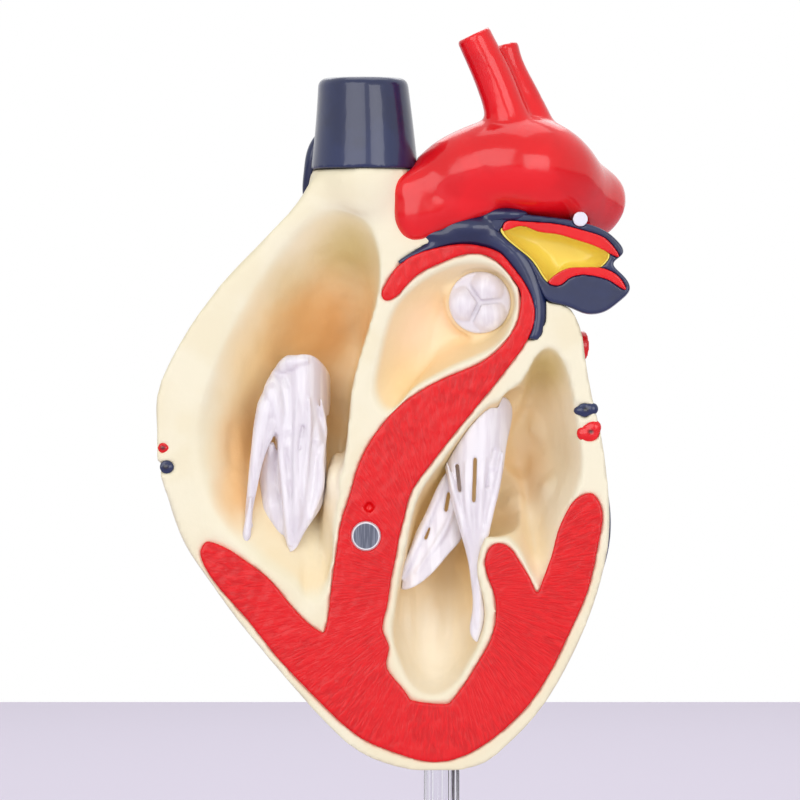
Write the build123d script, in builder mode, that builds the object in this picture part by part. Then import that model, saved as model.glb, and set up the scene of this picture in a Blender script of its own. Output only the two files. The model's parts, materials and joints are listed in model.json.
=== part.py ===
"""Life-size dog heart teaching model: the rear half of a heart cut open along its length.

The heart stands on a clear rod in a round base. The cut face is parallel to XZ and looks
towards -Y, Z is up, and the rod axis is the Z axis. All lengths are millimetres.
"""
import math
import os

from build123d import *

os.makedirs("parts", exist_ok=True)

# Overall size of the heart at the cut face
FACE_WIDTH = 75.0
FACE_HEIGHT = 100.0
REAR_DEPTH = 34.0
ROD_X_SHARE = 0.633
ROD_SETBACK = 9.0
APEX_Z = 66.5
CUT_Y = -ROD_SETBACK

# Stand
BASE_DIAMETER = 100.0
BASE_HEIGHT = 8.0
BASE_EDGE_FILLET = 2.5
BASE_FOOT_CHAMFER = 0.6
BOSS_DIAMETER = 20.0
BOSS_HEIGHT = 8.0
BOSS_EDGE_FILLET = 1.5
BOSS_ROOT_FILLET = 3.0
BORE_FLOOR = 2.0
PAD_DIAMETER = 92.0
PAD_THICKNESS = 1.0
ROD_DIAMETER = 6.0
ROD_CHAMFER = 0.5
SOCKET_DEPTH = 12.0
RUNNING_CLEARANCE = 0.05

# Muscle plate on the cut face, magnet and register dimple
PLATE_DEPTH = 1.2
PLATE_PROUD = 0.4
MAGNET_DIAMETER = 5.0
MAGNET_THICKNESS = 3.0
MAGNET_SHARE = (0.464, 0.390)
MAGNET_CHAMFER = 0.25
DIMPLE_SHARE = (0.471, 0.438)
DIMPLE_DIAMETER = 1.6
DIMPLE_DEPTH = 0.9

# Number of points that shape each round section
RING_POINTS = 12

# Cranial vena cava: height share, left share, right share, and its collar on the heart
CAVA_SETBACK = 6.0
CAVA_DEPTH_RATIO = 0.95
CAVA_SECTION_SHARES = [
    (1.003, 0.340, 0.580),
    (1.080, 0.351, 0.569),
    (1.156, 0.357, 0.556),
]
CAVA_EDGE_FILLET = 1.4
CAVA_LUMEN_RADIUS = 5.2
CAVA_LUMEN_DEPTH = 8.0
COLLAR_SECTION_SHARES = [
    (0.925, 0.325, 0.583),
    (0.967, 0.333, 0.580),
    (1.003, 0.340, 0.580),
]
COLLAR_SETBACK_SHARES = [1.367, 1.067, 1.000]

# Azygos vein: across share, up share, depth
AZYGOS_RADIUS = 1.2
AZYGOS_PATH_SHARES = [
    (0.362, 1.055), (0.347, 1.035), (0.339, 1.000), (0.336, 0.970), (0.345, 0.945),
]
AZYGOS_DEPTH_SHARES = [0.279, 0.279, 0.294, 0.324, 0.368]

# Arteries at the top: across share, up share, depth, radius
AORTA_STATION_SHARES = [
    (0.596, 0.879), (0.596, 0.886), (0.595, 0.898), (0.596, 0.916), (0.600, 0.938),
    (0.620, 0.965), (0.660, 0.986), (0.715, 1.002), (0.775, 1.011), (0.835, 1.007),
    (0.890, 0.988), (0.934, 0.962), (0.958, 0.943),
]
AORTA_DEPTH_SHARES = [
    0.150, 0.150, 0.150, 0.150, 0.145, 0.132, 0.112, 0.092, 0.080, 0.105, 0.195, 0.350,
    0.520,
]
AORTA_RADIUS = 8.3
AORTA_RADIUS_SHARES = [
    0.360, 0.460, 0.560, 0.640, 0.690, 0.750, 0.830, 0.905, 0.970, 1.000, 0.925, 0.830,
    0.780,
]
TRUNK_STATION_SHARES = [
    (0.702, 1.227), (0.724, 1.192), (0.746, 1.157), (0.765, 1.120), (0.780, 1.083),
    (0.793, 1.042),
]
TRUNK_DEPTH_SHARES = [0.029, 0.035, 0.041, 0.047, 0.059, 0.068]
TRUNK_RADIUS = 3.0
TRUNK_RADIUS_SHARES = [1.000, 1.030, 1.070, 1.120, 1.320, 1.750]
SUBCLAVIAN_STATION_SHARES = [
    (0.776, 1.213), (0.790, 1.173), (0.811, 1.137), (0.830, 1.097), (0.845, 1.050),
]
SUBCLAVIAN_DEPTH_SHARES = [0.129, 0.129, 0.132, 0.138, 0.147]
SUBCLAVIAN_RADIUS = 2.1
SUBCLAVIAN_RADIUS_SHARES = [1.000, 1.060, 1.150, 1.470, 2.100]
AORTA_LUMEN_RADIUS = 4.6
TRUNK_LUMEN_RADIUS = 1.7
SUBCLAVIAN_LUMEN_RADIUS = 1.2
ARTERY_LUMEN_DEPTH = 4.0
LIGAMENT_SHARE = (0.940, 0.918)
LIGAMENT_RADIUS = 1.25
LIGAMENT_PROUD = 1.0
LIGAMENT_DEPTH = 8.0

# Pulmonary trunk round the outflow, and the opened pulmonary artery beside it
OUTFLOW_TRUNK_STATION_SHARES = [
    (0.538, 0.843), (0.596, 0.862), (0.662, 0.886), (0.740, 0.889), (0.802, 0.852),
    (0.835, 0.800), (0.842, 0.753), (0.833, 0.717),
]
OUTFLOW_TRUNK_RADIUS = 2.9
OUTFLOW_TRUNK_RADIUS_SHARES = [0.207, 0.483, 0.828, 1.000, 0.966, 0.793, 0.621, 0.379]
OUTFLOW_TRUNK_PROUD = 0.5
LOBE_SHARES = [
    (0.736, 0.923), (0.773, 0.927), (0.851, 0.923), (0.940, 0.913), (0.993, 0.899),
    (1.020, 0.883), (1.034, 0.861), (1.013, 0.845), (1.030, 0.828), (1.049, 0.802),
    (1.026, 0.782), (0.993, 0.765), (0.951, 0.762), (0.907, 0.775), (0.869, 0.783),
    (0.847, 0.808), (0.818, 0.847), (0.773, 0.883),
]
LOBE_CENTRE_SHARE = (0.930, 0.842)
LOBE_DEPTH = 9.5
LOBE_LEVEL_SHARES = [(-0.03, 1.00), (0.16, 1.02), (0.53, 0.94), (0.84, 0.72), (1.00, 0.45)]
LINING_SHARES = [
    (0.770, 0.906), (0.798, 0.909), (0.842, 0.903), (0.887, 0.898), (0.924, 0.890),
    (0.968, 0.878), (0.994, 0.869), (1.006, 0.858), (0.998, 0.846), (0.984, 0.837),
    (0.964, 0.833), (0.941, 0.832), (0.916, 0.831), (0.893, 0.824), (0.874, 0.812),
    (0.845, 0.836), (0.815, 0.861),
]
LINING_CENTRE_SHARE = (0.920, 0.862)
LINING_DEPTH = 6.0
LINING_WALL = 0.8
LINING_OUTER_LEVEL_SHARES = [(-0.05, 1.00), (0.25, 0.98), (0.67, 0.85), (1.00, 0.55)]
LINING_INNER_LEVEL_SHARES = [(-0.19, 0.95), (0.29, 0.92), (0.71, 0.78), (1.00, 0.45)]
UPPER_RIM_SHARES = [
    (0.767, 0.903), (0.773, 0.913), (0.802, 0.915), (0.887, 0.910), (0.958, 0.897),
    (0.991, 0.888), (1.018, 0.868), (1.027, 0.855), (1.002, 0.862), (0.973, 0.873),
    (0.924, 0.885), (0.887, 0.893), (0.842, 0.898), (0.798, 0.905),
]
LOWER_RIM_SHARES = [
    (0.869, 0.815), (0.893, 0.830), (0.916, 0.837), (0.944, 0.838), (0.987, 0.837),
    (1.018, 0.827), (1.036, 0.812), (1.042, 0.800), (1.027, 0.805), (1.007, 0.815),
    (0.973, 0.823), (0.940, 0.825), (0.911, 0.817), (0.887, 0.807),
]
RIM_DEPTH = 1.0
RIM_PROUD = 0.6

# Semilunar valve in the outflow
VALVE_SHARE = (0.718, 0.780)
VALVE_RADIUS = 5.2
VALVE_SEAT_RADIUS = 5.8
VALVE_SEAT_FRONT = 4.4
VALVE_SEAT_BACK = 11.0
CUSP_SPHERE_RADIUS = 4.0
CUSP_OFFSET = 2.5
CUSP_HEIGHT = 2.0
CUSP_GAP = 0.5
CUSP_TURNS = [65.0, 185.0, 305.0]
CUSP_WEDGE_LENGTH = 20.0

# Leaflets: outline, slits, and the tube they are cut from
TRICUSPID_SHARES = [
    (0.262, 0.673), (0.280, 0.683), (0.347, 0.690), (0.369, 0.675), (0.384, 0.653),
    (0.380, 0.592), (0.378, 0.527), (0.376, 0.478), (0.364, 0.438), (0.340, 0.410),
    (0.322, 0.388), (0.307, 0.368), (0.289, 0.361), (0.271, 0.372), (0.262, 0.413),
    (0.264, 0.467), (0.258, 0.525), (0.242, 0.567), (0.236, 0.625),
]
TRICUSPID_SLIT_SHARES = [
    ((0.289, 0.568), (0.304, 0.477)),
    ((0.324, 0.572), (0.313, 0.527)),
    ((0.353, 0.575), (0.349, 0.527)),
]
STRAND_SHARES = [
    (0.238, 0.628), (0.216, 0.572), (0.207, 0.527), (0.200, 0.463), (0.193, 0.412),
    (0.187, 0.392), (0.193, 0.374), (0.207, 0.378), (0.212, 0.412), (0.220, 0.463),
    (0.233, 0.508), (0.251, 0.545), (0.262, 0.570),
]
FRONT_MITRAL_SHARES = [
    (0.758, 0.625), (0.789, 0.608), (0.791, 0.592), (0.780, 0.550), (0.769, 0.495),
    (0.753, 0.445), (0.740, 0.397), (0.733, 0.363), (0.731, 0.320), (0.729, 0.277),
    (0.727, 0.233), (0.718, 0.210), (0.704, 0.216), (0.700, 0.263), (0.698, 0.308),
    (0.691, 0.347), (0.678, 0.385), (0.662, 0.427), (0.649, 0.467), (0.638, 0.507),
    (0.629, 0.530), (0.669, 0.570), (0.713, 0.603),
]
FRONT_MITRAL_SLIT_SHARES = [
    ((0.667, 0.507), (0.673, 0.465)),
    ((0.707, 0.518), (0.704, 0.448)),
    ((0.749, 0.533), (0.733, 0.472)),
]
REAR_MITRAL_SHARES = [
    (0.656, 0.510), (0.622, 0.470), (0.598, 0.430), (0.571, 0.388), (0.544, 0.340),
    (0.524, 0.312), (0.536, 0.301), (0.567, 0.303), (0.596, 0.317), (0.627, 0.340),
    (0.653, 0.363), (0.678, 0.385), (0.691, 0.420), (0.687, 0.480),
]
REAR_MITRAL_SLIT_SHARES = [
    ((0.649, 0.460), (0.642, 0.432)),
    ((0.609, 0.412), (0.596, 0.385)),
]
SLIT_WIDTH = 0.6
LEAFLET_THICKNESS = 1.1
LEAFLET_LENGTH = 60.0
LEAFLET_OVERRUN = 6.0
OUTLINE_REACH = 30.0
TRICUSPID_HALF_WIDTH = 4.9
TRICUSPID_HALF_DEPTH = 9.0
TRICUSPID_FRONT = 1.4
TRICUSPID_TILT = 0.0
TRICUSPID_TOP_SHARE = (0.318, 0.690)
TRICUSPID_APRON_SHARE = 0.590
STRAND_HALF_WIDTH = 7.0
STRAND_HALF_DEPTH = 9.0
STRAND_FRONT = 1.4
STRAND_TILT = 0.0
STRAND_TOP_SHARE = (0.240, 0.640)
STRAND_APRON_SHARE = 0.700
FRONT_MITRAL_HALF_WIDTH = 6.6
FRONT_MITRAL_HALF_DEPTH = 8.0
FRONT_MITRAL_FRONT = 1.2
FRONT_MITRAL_TILT = 0.0
FRONT_MITRAL_TOP_SHARE = (0.711, 0.625)
FRONT_MITRAL_APRON_SHARE = 0.560
REAR_MITRAL_HALF_WIDTH = 9.0
REAR_MITRAL_HALF_DEPTH = 8.0
REAR_MITRAL_FRONT = 5.4
REAR_MITRAL_TILT = -9.0
REAR_MITRAL_TOP_SHARE = (0.610, 0.520)
REAR_MITRAL_APRON_SHARE = 0.600
APRON_BACK = 5.0

# Vessels over the surface: turn from the right edge round the back in degrees,
# height share, and how far the centre lies under the surface as a share of the radius
GROOVE_AXIS_SHARE = 0.500
RIGHT_CORONARY_RADIUS = 0.85
RIGHT_CORONARY_TURNS = [-8, 0, 14, 34, 56, 72, 86]
RIGHT_CORONARY_UP_SHARES = [0.536, 0.537, 0.541, 0.553, 0.566, 0.573, 0.576]
RIGHT_CORONARY_INSET_SHARES = [1.18, 1.18, 0.59, 0.35, 0.35, 0.35, 0.60]
SMALL_VEIN_RADIUS = 1.15
SMALL_VEIN_TURNS = [-8, 0, 14, 34, 56, 74, 89]
SMALL_VEIN_UP_SHARES = [0.504, 0.505, 0.509, 0.521, 0.534, 0.540, 0.538]
SMALL_VEIN_INSET_SHARES = [1.217, 1.217, 0.696, 0.261, 0.261, 0.261, 0.348]
CIRCUMFLEX_RADIUS = 1.45
CIRCUMFLEX_TURNS = [188, 180, 166, 150, 130, 114, 108, 106, 107]
CIRCUMFLEX_UP_SHARES = [0.563, 0.563, 0.560, 0.550, 0.534, 0.506, 0.450, 0.380, 0.310]
CIRCUMFLEX_INSET_SHARES = [1.172, 1.172, 0.690, 0.345, 0.276, 0.276, 0.276, 0.345, 0.621]
GREAT_VEIN_RADIUS = 1.15
GREAT_VEIN_TURNS = [188, 180, 166, 150, 130, 112, 98, 90]
GREAT_VEIN_UP_SHARES = [0.601, 0.600, 0.597, 0.588, 0.574, 0.560, 0.545, 0.538]
GREAT_VEIN_INSET_SHARES = [1.739, 1.652, 0.870, 0.348, 0.261, 0.261, 0.261, 0.261]
MIDDLE_VEIN_RADIUS = 0.9
MIDDLE_VEIN_TURNS = [101, 102.5, 102.5, 101.5, 102, 103]
MIDDLE_VEIN_UP_SHARES = [0.542, 0.510, 0.450, 0.380, 0.300, 0.240]
MIDDLE_VEIN_INSET_SHARES = [0.556, 0.333, 0.333, 0.333, 0.333, 0.667]
MARGINAL_VEIN_RADIUS = 0.9
MARGINAL_VEIN_TURNS = [163, 166, 169.5, 172, 173, 171, 168]
MARGINAL_VEIN_UP_SHARES = [0.542, 0.520, 0.485, 0.440, 0.390, 0.330, 0.270]
MARGINAL_VEIN_INSET_SHARES = [0.556, 0.333, 0.333, 0.222, 0.222, 0.333, 0.667]

# Stubs that leave the back: turn, height share, radius, length, tip
CAUDAL_CAVA_TURN = 48.0
CAUDAL_CAVA_UP_SHARE = 0.655
CAUDAL_CAVA_DROP = 0.35
CAUDAL_CAVA_RADIUS = 6.2
CAUDAL_CAVA_LENGTH = 6.0
CAUDAL_CAVA_ROOT = 7.0
PULMONARY_VEIN_TURNS = [162.0, 128.0, 106.0, 142.0]
PULMONARY_VEIN_UP_SHARES = [0.708, 0.750, 0.690, 0.655]
PULMONARY_VEIN_RADIUS = 2.5
PULMONARY_VEIN_RADIUS_SHARES = [1.00, 0.92, 1.00, 0.92]
PULMONARY_VEIN_LENGTH = 4.0
PULMONARY_VEIN_LENGTH_SHARES = [0.60, 1.00, 1.00, 0.90]
PULMONARY_VEIN_ROOT = 4.0
STUB_LUMEN_RATIO = 0.72
STUB_LUMEN_DEPTH = 5.0

# Heart body from the apex to the roof of the right atrium:
# height share, left share, right share, rear depth share
BODY_SECTION_SHARES = [
    (-0.001, 0.580, 0.669, 0.176),
    (0.004, 0.538, 0.700, 0.280),
    (0.015, 0.491, 0.736, 0.400),
    (0.038, 0.433, 0.773, 0.540),
    (0.062, 0.396, 0.807, 0.630),
    (0.117, 0.327, 0.867, 0.770),
    (0.183, 0.251, 0.918, 0.875),
    (0.250, 0.178, 0.958, 0.945),
    (0.317, 0.113, 0.987, 0.985),
    (0.383, 0.056, 1.004, 1.000),
    (0.450, 0.024, 1.005, 0.985),
    (0.517, 0.000, 0.996, 0.935),
    (0.567, -0.001, 0.985, 0.925),
    (0.617, -0.002, 0.969, 0.950),
    (0.683, 0.029, 0.953, 0.945),
    (0.750, 0.082, 0.934, 0.860),
    (0.817, 0.149, 0.856, 0.710),
    (0.883, 0.233, 0.742, 0.570),
    (0.950, 0.313, 0.622, 0.426),
    (0.987, 0.342, 0.560, 0.324),
]

# Outlines on the cut face, as shares of its width and height
MUSCLE_OUTER_SHARES = [
    (0.111, 0.382), (0.096, 0.365), (0.107, 0.337), (0.144, 0.298), (0.207, 0.245),
    (0.262, 0.192), (0.324, 0.142), (0.393, 0.090), (0.456, 0.052), (0.536, 0.027),
    (0.616, 0.013), (0.691, 0.027), (0.762, 0.062), (0.829, 0.112), (0.876, 0.167),
    (0.922, 0.238), (0.962, 0.312), (0.982, 0.383), (0.989, 0.433), (0.967, 0.462),
]
LEFT_WALL_INNER_SHARES = [
    (0.967, 0.462), (0.931, 0.452), (0.907, 0.427), (0.889, 0.395), (0.878, 0.362),
    (0.862, 0.328), (0.844, 0.288),
]
PAPILLARY_SHARES = [
    (0.844, 0.288), (0.827, 0.322), (0.804, 0.350), (0.780, 0.373), (0.753, 0.378),
    (0.733, 0.363), (0.731, 0.330), (0.747, 0.297), (0.753, 0.262), (0.742, 0.220),
    (0.711, 0.177), (0.673, 0.133), (0.647, 0.110),
]
LEFT_FLOOR_SHARES = [(0.647, 0.110), (0.604, 0.112), (0.562, 0.117)]
SEPTUM_RIGHT_SHARES = [
    (0.562, 0.117), (0.536, 0.145), (0.509, 0.180), (0.516, 0.203), (0.502, 0.230),
    (0.509, 0.267), (0.516, 0.297), (0.522, 0.327), (0.531, 0.357), (0.538, 0.390),
    (0.549, 0.420), (0.564, 0.462), (0.593, 0.495), (0.642, 0.543), (0.696, 0.593),
    (0.753, 0.645), (0.791, 0.682), (0.820, 0.713), (0.836, 0.740), (0.840, 0.765),
    (0.833, 0.787), (0.816, 0.813), (0.791, 0.838), (0.762, 0.862), (0.720, 0.873),
    (0.678, 0.877), (0.636, 0.873), (0.593, 0.865), (0.556, 0.853), (0.524, 0.830),
    (0.507, 0.810), (0.498, 0.795),
]
SEPTUM_LEFT_SHARES = [
    (0.498, 0.795), (0.509, 0.782), (0.524, 0.785), (0.551, 0.805), (0.584, 0.828),
    (0.620, 0.842), (0.656, 0.853), (0.691, 0.860), (0.729, 0.858), (0.762, 0.843),
    (0.791, 0.818), (0.807, 0.797), (0.807, 0.772), (0.800, 0.747), (0.780, 0.720),
    (0.749, 0.695), (0.707, 0.675), (0.649, 0.657), (0.587, 0.633), (0.533, 0.603),
    (0.491, 0.567), (0.460, 0.530), (0.440, 0.492), (0.427, 0.457), (0.409, 0.415),
    (0.398, 0.362), (0.387, 0.307), (0.380, 0.258), (0.371, 0.227),
]
RIGHT_WALL_UPPER_SHARES = [
    (0.371, 0.227), (0.324, 0.253), (0.284, 0.287), (0.251, 0.317), (0.200, 0.347),
    (0.149, 0.372), (0.111, 0.382),
]
RIGHT_CHAMBER_SHARES = [
    (0.402, 0.945), (0.456, 0.930), (0.489, 0.883), (0.496, 0.825), (0.478, 0.758),
    (0.447, 0.683), (0.429, 0.617), (0.420, 0.542), (0.404, 0.467), (0.393, 0.392),
    (0.380, 0.317), (0.358, 0.273), (0.309, 0.297), (0.247, 0.330), (0.180, 0.370),
    (0.120, 0.425), (0.087, 0.492), (0.080, 0.558), (0.100, 0.630), (0.136, 0.700),
    (0.184, 0.770), (0.242, 0.840), (0.300, 0.900), (0.351, 0.935),
]
OUTFLOW_SHARES = [
    (0.529, 0.780), (0.573, 0.812), (0.640, 0.840), (0.713, 0.850), (0.769, 0.833),
    (0.793, 0.797), (0.793, 0.750), (0.767, 0.713), (0.713, 0.688), (0.651, 0.668),
    (0.593, 0.645), (0.544, 0.617), (0.504, 0.590), (0.480, 0.608), (0.478, 0.663),
    (0.498, 0.725),
]
LEFT_ATRIUM_SHARES = [
    (0.831, 0.675), (0.880, 0.705), (0.911, 0.670), (0.929, 0.617), (0.942, 0.550),
    (0.944, 0.492), (0.922, 0.445), (0.896, 0.397), (0.878, 0.350), (0.853, 0.303),
    (0.824, 0.337), (0.793, 0.375), (0.756, 0.397), (0.727, 0.450), (0.727, 0.525),
    (0.758, 0.592), (0.791, 0.637),
]
LEFT_VENTRICLE_SHARES = [
    (0.769, 0.613), (0.800, 0.575), (0.796, 0.500), (0.762, 0.433), (0.727, 0.383),
    (0.713, 0.325), (0.729, 0.273), (0.722, 0.223), (0.691, 0.177), (0.653, 0.137),
    (0.609, 0.122), (0.569, 0.137), (0.542, 0.177), (0.524, 0.217), (0.529, 0.263),
    (0.538, 0.317), (0.551, 0.367), (0.564, 0.417), (0.584, 0.463), (0.624, 0.507),
    (0.673, 0.557), (0.718, 0.597),
]
MITRAL_OPENING_SHARES = [
    (0.760, 0.612), (0.800, 0.640), (0.856, 0.630), (0.873, 0.567), (0.860, 0.483),
    (0.829, 0.420), (0.784, 0.392), (0.727, 0.388), (0.680, 0.420), (0.665, 0.483),
    (0.700, 0.550),
]
MITRAL_OPENING_CENTRE_SHARE = (0.780, 0.510)
MITRAL_OPENING_DEPTH = 13.0
MITRAL_OPENING_LEVEL_SHARES = [
    (-0.08, 0.98), (0.31, 0.97), (0.69, 0.82), (0.92, 0.50), (1.00, 0.25),
]
# Centres the hollows shrink towards, their depths, and how they shrink on the way down
RIGHT_CHAMBER_CENTRE_SHARE = (0.440, 0.655)
OUTFLOW_CENTRE_SHARE = (0.695, 0.762)
LEFT_ATRIUM_CENTRE_SHARE = (0.805, 0.560)
LEFT_VENTRICLE_CENTRE_SHARE = (0.651, 0.350)
RIGHT_CHAMBER_DEPTH = 17.0
RIGHT_CHAMBER_LEVEL_SHARES = [
    (-0.06, 1.04), (0.06, 0.93), (0.15, 0.85), (0.30, 0.74), (0.50, 0.62), (0.72, 0.46),
    (0.90, 0.30), (1.00, 0.16),
]
OUTFLOW_DEPTH = 7.5
OUTFLOW_LEVEL_SHARES = [(-0.13, 1.04), (0.11, 0.93), (0.35, 0.81), (0.65, 0.64), (1.00, 0.35)]
LEFT_ATRIUM_LEVEL_SHARES = [
    (-0.06, 1.03), (0.06, 0.95), (0.20, 0.84), (0.40, 0.72), (0.65, 0.56), (0.86, 0.38),
    (1.00, 0.18),
]
LEFT_CHAMBER_DEPTH = 15.5
LEFT_CHAMBER_LEVEL_SHARES = [
    (-0.06, 1.02), (0.06, 0.98), (0.39, 0.88), (0.71, 0.68), (0.90, 0.42), (1.00, 0.15),
]


def face_x(share):
    """X of a point given as a share of the width of the cut face."""
    return (share - ROD_X_SHARE) * FACE_WIDTH


def face_z(share):
    """Z of a point given as a share of the height of the cut face."""
    return APEX_Z + share * FACE_HEIGHT


def face_points(shares):
    """Outline shares as points of a plane parallel to the cut face."""
    return [(face_x(across), face_z(up)) for across, up in shares]


def behind(depth):
    """Plane parallel to the cut face and this far behind it, looking forward."""
    return Plane.XZ.offset(-(CUT_Y + depth))


def shrunk_points(shares, centre_share, scale):
    """Outline points scaled about a centre."""
    centre_x, centre_z = face_x(centre_share[0]), face_z(centre_share[1])
    return [
        (centre_x + (x - centre_x) * scale, centre_z + (z - centre_z) * scale)
        for x, z in face_points(shares)
    ]


def ring_points(centre_x, centre_y, half_x, half_y):
    """Points round an ellipse, the first one at its front."""
    turns = [2 * math.pi * step / RING_POINTS for step in range(RING_POINTS)]
    return [
        (centre_x + half_x * math.sin(turn), centre_y - half_y * math.cos(turn))
        for turn in turns
    ]


def hollow(shares, centre_share, level_shares, depth):
    """Solid that fills a hollow: one outline that shrinks with depth."""
    with BuildPart() as filling:
        for down, scale in level_shares:
            with BuildSketch(behind(down * depth)):
                with BuildLine():
                    Spline(*shrunk_points(shares, centre_share, scale), periodic=True)
                make_face()
        loft()
    return filling.part


def leaflet_outline(shares):
    """Prism with the outline of a leaflet, through the whole depth of a chamber."""
    with BuildPart() as prism:
        with BuildSketch(behind(-LEAFLET_OVERRUN)):
            with BuildLine():
                Spline(*face_points(shares), periodic=True)
            make_face()
        extrude(amount=-(LEAFLET_OVERRUN + OUTLINE_REACH))
    return prism.part


def slit_cutter(slit_shares):
    """Prisms that open the slits between the tendon cords of a leaflet."""
    with BuildPart() as slits:
        with BuildSketch(behind(-LEAFLET_OVERRUN)):
            for start_share, finish_share in slit_shares:
                start, finish = face_points([start_share, finish_share])
                middle = ((start[0] + finish[0]) / 2, (start[1] + finish[1]) / 2)
                SlotCenterPoint(middle, finish, SLIT_WIDTH)
        extrude(amount=-(LEAFLET_OVERRUN + OUTLINE_REACH))
    return slits.part


def leaflet_sheet(top_share, half_width, half_depth, front, tilt, apron_share):
    """Thin elliptical tube that leans back; below the apron height only its front stays."""
    top = Vector(face_x(top_share[0]), CUT_Y + front + half_depth, face_z(top_share[1]))
    lean = math.radians(tilt)
    down = Vector(0, math.sin(lean), -math.cos(lean))
    tube_plane = Plane(origin=top, x_dir=(1, 0, 0), z_dir=down)
    with BuildPart() as sheet:
        with BuildSketch(tube_plane):
            Ellipse(half_width, half_depth)
            Ellipse(
                half_width - LEAFLET_THICKNESS,
                half_depth - LEAFLET_THICKNESS,
                mode=Mode.SUBTRACT,
            )
        extrude(amount=-LEAFLET_OVERRUN)
        with BuildSketch(tube_plane):
            Ellipse(half_width, half_depth)
            Ellipse(
                half_width - LEAFLET_THICKNESS,
                half_depth - LEAFLET_THICKNESS,
                mode=Mode.SUBTRACT,
            )
        extrude(amount=LEAFLET_LENGTH)
        apron_y = CUT_Y + front + APRON_BACK
        with BuildSketch(Plane.XY.offset(face_z(apron_share))):
            with Locations((face_x(top_share[0]), apron_y)):
                Rectangle(
                    FACE_WIDTH, REAR_DEPTH, align=(Align.CENTER, Align.MIN)
                )
        extrude(amount=-FACE_HEIGHT, mode=Mode.SUBTRACT)
    return sheet.part


def station_points(shares, depth_shares):
    """Points in space from shares on the cut face and depth shares behind it."""
    return [
        Vector(face_x(across), CUT_Y + deep * REAR_DEPTH, face_z(up))
        for (across, up), deep in zip(shares, depth_shares)
    ]


def station_planes(points, reference=Vector(0, -1, -1)):
    """Planes square to a path through the points, all turned the same way."""
    planes = []
    for place, point in enumerate(points):
        before = points[max(place - 1, 0)]
        after = points[min(place + 1, len(points) - 1)]
        along = (after - before).normalized()
        across = reference - along * reference.dot(along)
        planes.append(Plane(origin=point, x_dir=across, z_dir=along))
    return planes


def tapered_vessel(planes, radius, radius_shares):
    """Round vessel through the planes with a share of the radius at each."""
    with BuildPart() as vessel:
        for plane, radius_share in zip(planes, radius_shares):
            with BuildSketch(plane):
                Circle(radius_share * radius)
        loft()
    return vessel.part


def end_lumen(plane, radius, depth):
    """Blind opening in the cut end of a vessel."""
    with BuildPart() as lumen:
        with BuildSketch(plane):
            Circle(radius)
        extrude(amount=depth)
    return lumen.part


def surface_point(turn, up, inset):
    """Point on the heart's surface, a little under the skin, and the way out there."""
    angle = math.radians(turn)
    outward = Vector(-math.cos(angle), math.sin(angle), 0)
    centre = Vector(face_x(GROOVE_AXIS_SHARE), CUT_Y, face_z(up))
    hits = whole_body.part.find_intersection_points(Axis(centre, outward))
    skin = max((hit[0] for hit in hits), key=lambda point: (point - centre).dot(outward))
    return skin - outward * inset, outward


def surface_vessel(turns, up_shares, inset_shares, radius):
    """Vessel that follows the surface of the heart, cut off at the cut face."""
    path_points = [
        surface_point(turn, up, inset * radius)[0]
        for turn, up, inset in zip(turns, up_shares, inset_shares)
    ]
    with BuildPart() as vessel:
        with BuildLine() as path:
            Spline(*path_points)
        with BuildSketch(Plane(origin=path.line @ 0, z_dir=path.line % 0)):
            Circle(radius)
        sweep()
        split(bisect_by=Plane.XZ.offset(-CUT_Y), keep=Keep.BOTTOM)
    return vessel.part


def vein_stub(turn, up, drop, radius, length, root):
    """Short open pipe that leaves the back of the heart."""
    skin, outward = surface_point(turn, up, 0)
    leaving = (outward + Vector(0, 0, -drop)).normalized()
    with BuildPart() as stub:
        with BuildSketch(Plane(origin=skin - leaving * root, z_dir=leaving)):
            Circle(radius)
        extrude(amount=root + length)
        with BuildSketch(Plane(origin=skin + leaving * length, z_dir=leaving)):
            Circle(radius * STUB_LUMEN_RATIO)
        extrude(amount=-STUB_LUMEN_DEPTH, mode=Mode.SUBTRACT)
    return stub.part


# Foot pad under the base
with BuildPart() as base_pad:
    with BuildSketch(Plane.XY):
        Circle(PAD_DIAMETER / 2)
    extrude(amount=PAD_THICKNESS)

# Base disc with its boss and the bore for the rod
with BuildPart() as base:
    with BuildSketch(Plane.XY.offset(PAD_THICKNESS)):
        Circle(BASE_DIAMETER / 2)
    extrude(amount=BASE_HEIGHT - PAD_THICKNESS)
    fillet(base.edges().sort_by(Axis.Z)[-1], BASE_EDGE_FILLET)
    chamfer(base.edges().sort_by(Axis.Z)[0], BASE_FOOT_CHAMFER)
    with BuildSketch(Plane.XY.offset(BASE_HEIGHT)):
        Circle(BOSS_DIAMETER / 2)
    extrude(amount=BOSS_HEIGHT)
    fillet(base.edges().filter_by(GeomType.CIRCLE).sort_by(Axis.Z)[-1], BOSS_EDGE_FILLET)
    boss_root = base.edges().filter_by(
        lambda edge: abs(edge.center().Z - BASE_HEIGHT) < RUNNING_CLEARANCE
        and abs(edge.radius - BOSS_DIAMETER / 2) < RUNNING_CLEARANCE
    )
    fillet(boss_root, BOSS_ROOT_FILLET)
    with BuildSketch(Plane.XY.offset(PAD_THICKNESS + BORE_FLOOR)):
        Circle(ROD_DIAMETER / 2 + RUNNING_CLEARANCE)
    extrude(amount=BASE_HEIGHT + BOSS_HEIGHT, mode=Mode.SUBTRACT)

# Support rod
ROD_FOOT_Z = PAD_THICKNESS + BORE_FLOOR
ROD_TOP_Z = APEX_Z + SOCKET_DEPTH
with BuildPart() as support_rod:
    with BuildSketch(Plane.XY.offset(ROD_FOOT_Z)):
        Circle(ROD_DIAMETER / 2)
    extrude(amount=ROD_TOP_Z - ROD_FOOT_Z)
    chamfer(support_rod.edges().filter_by(GeomType.CIRCLE), ROD_CHAMFER)

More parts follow.
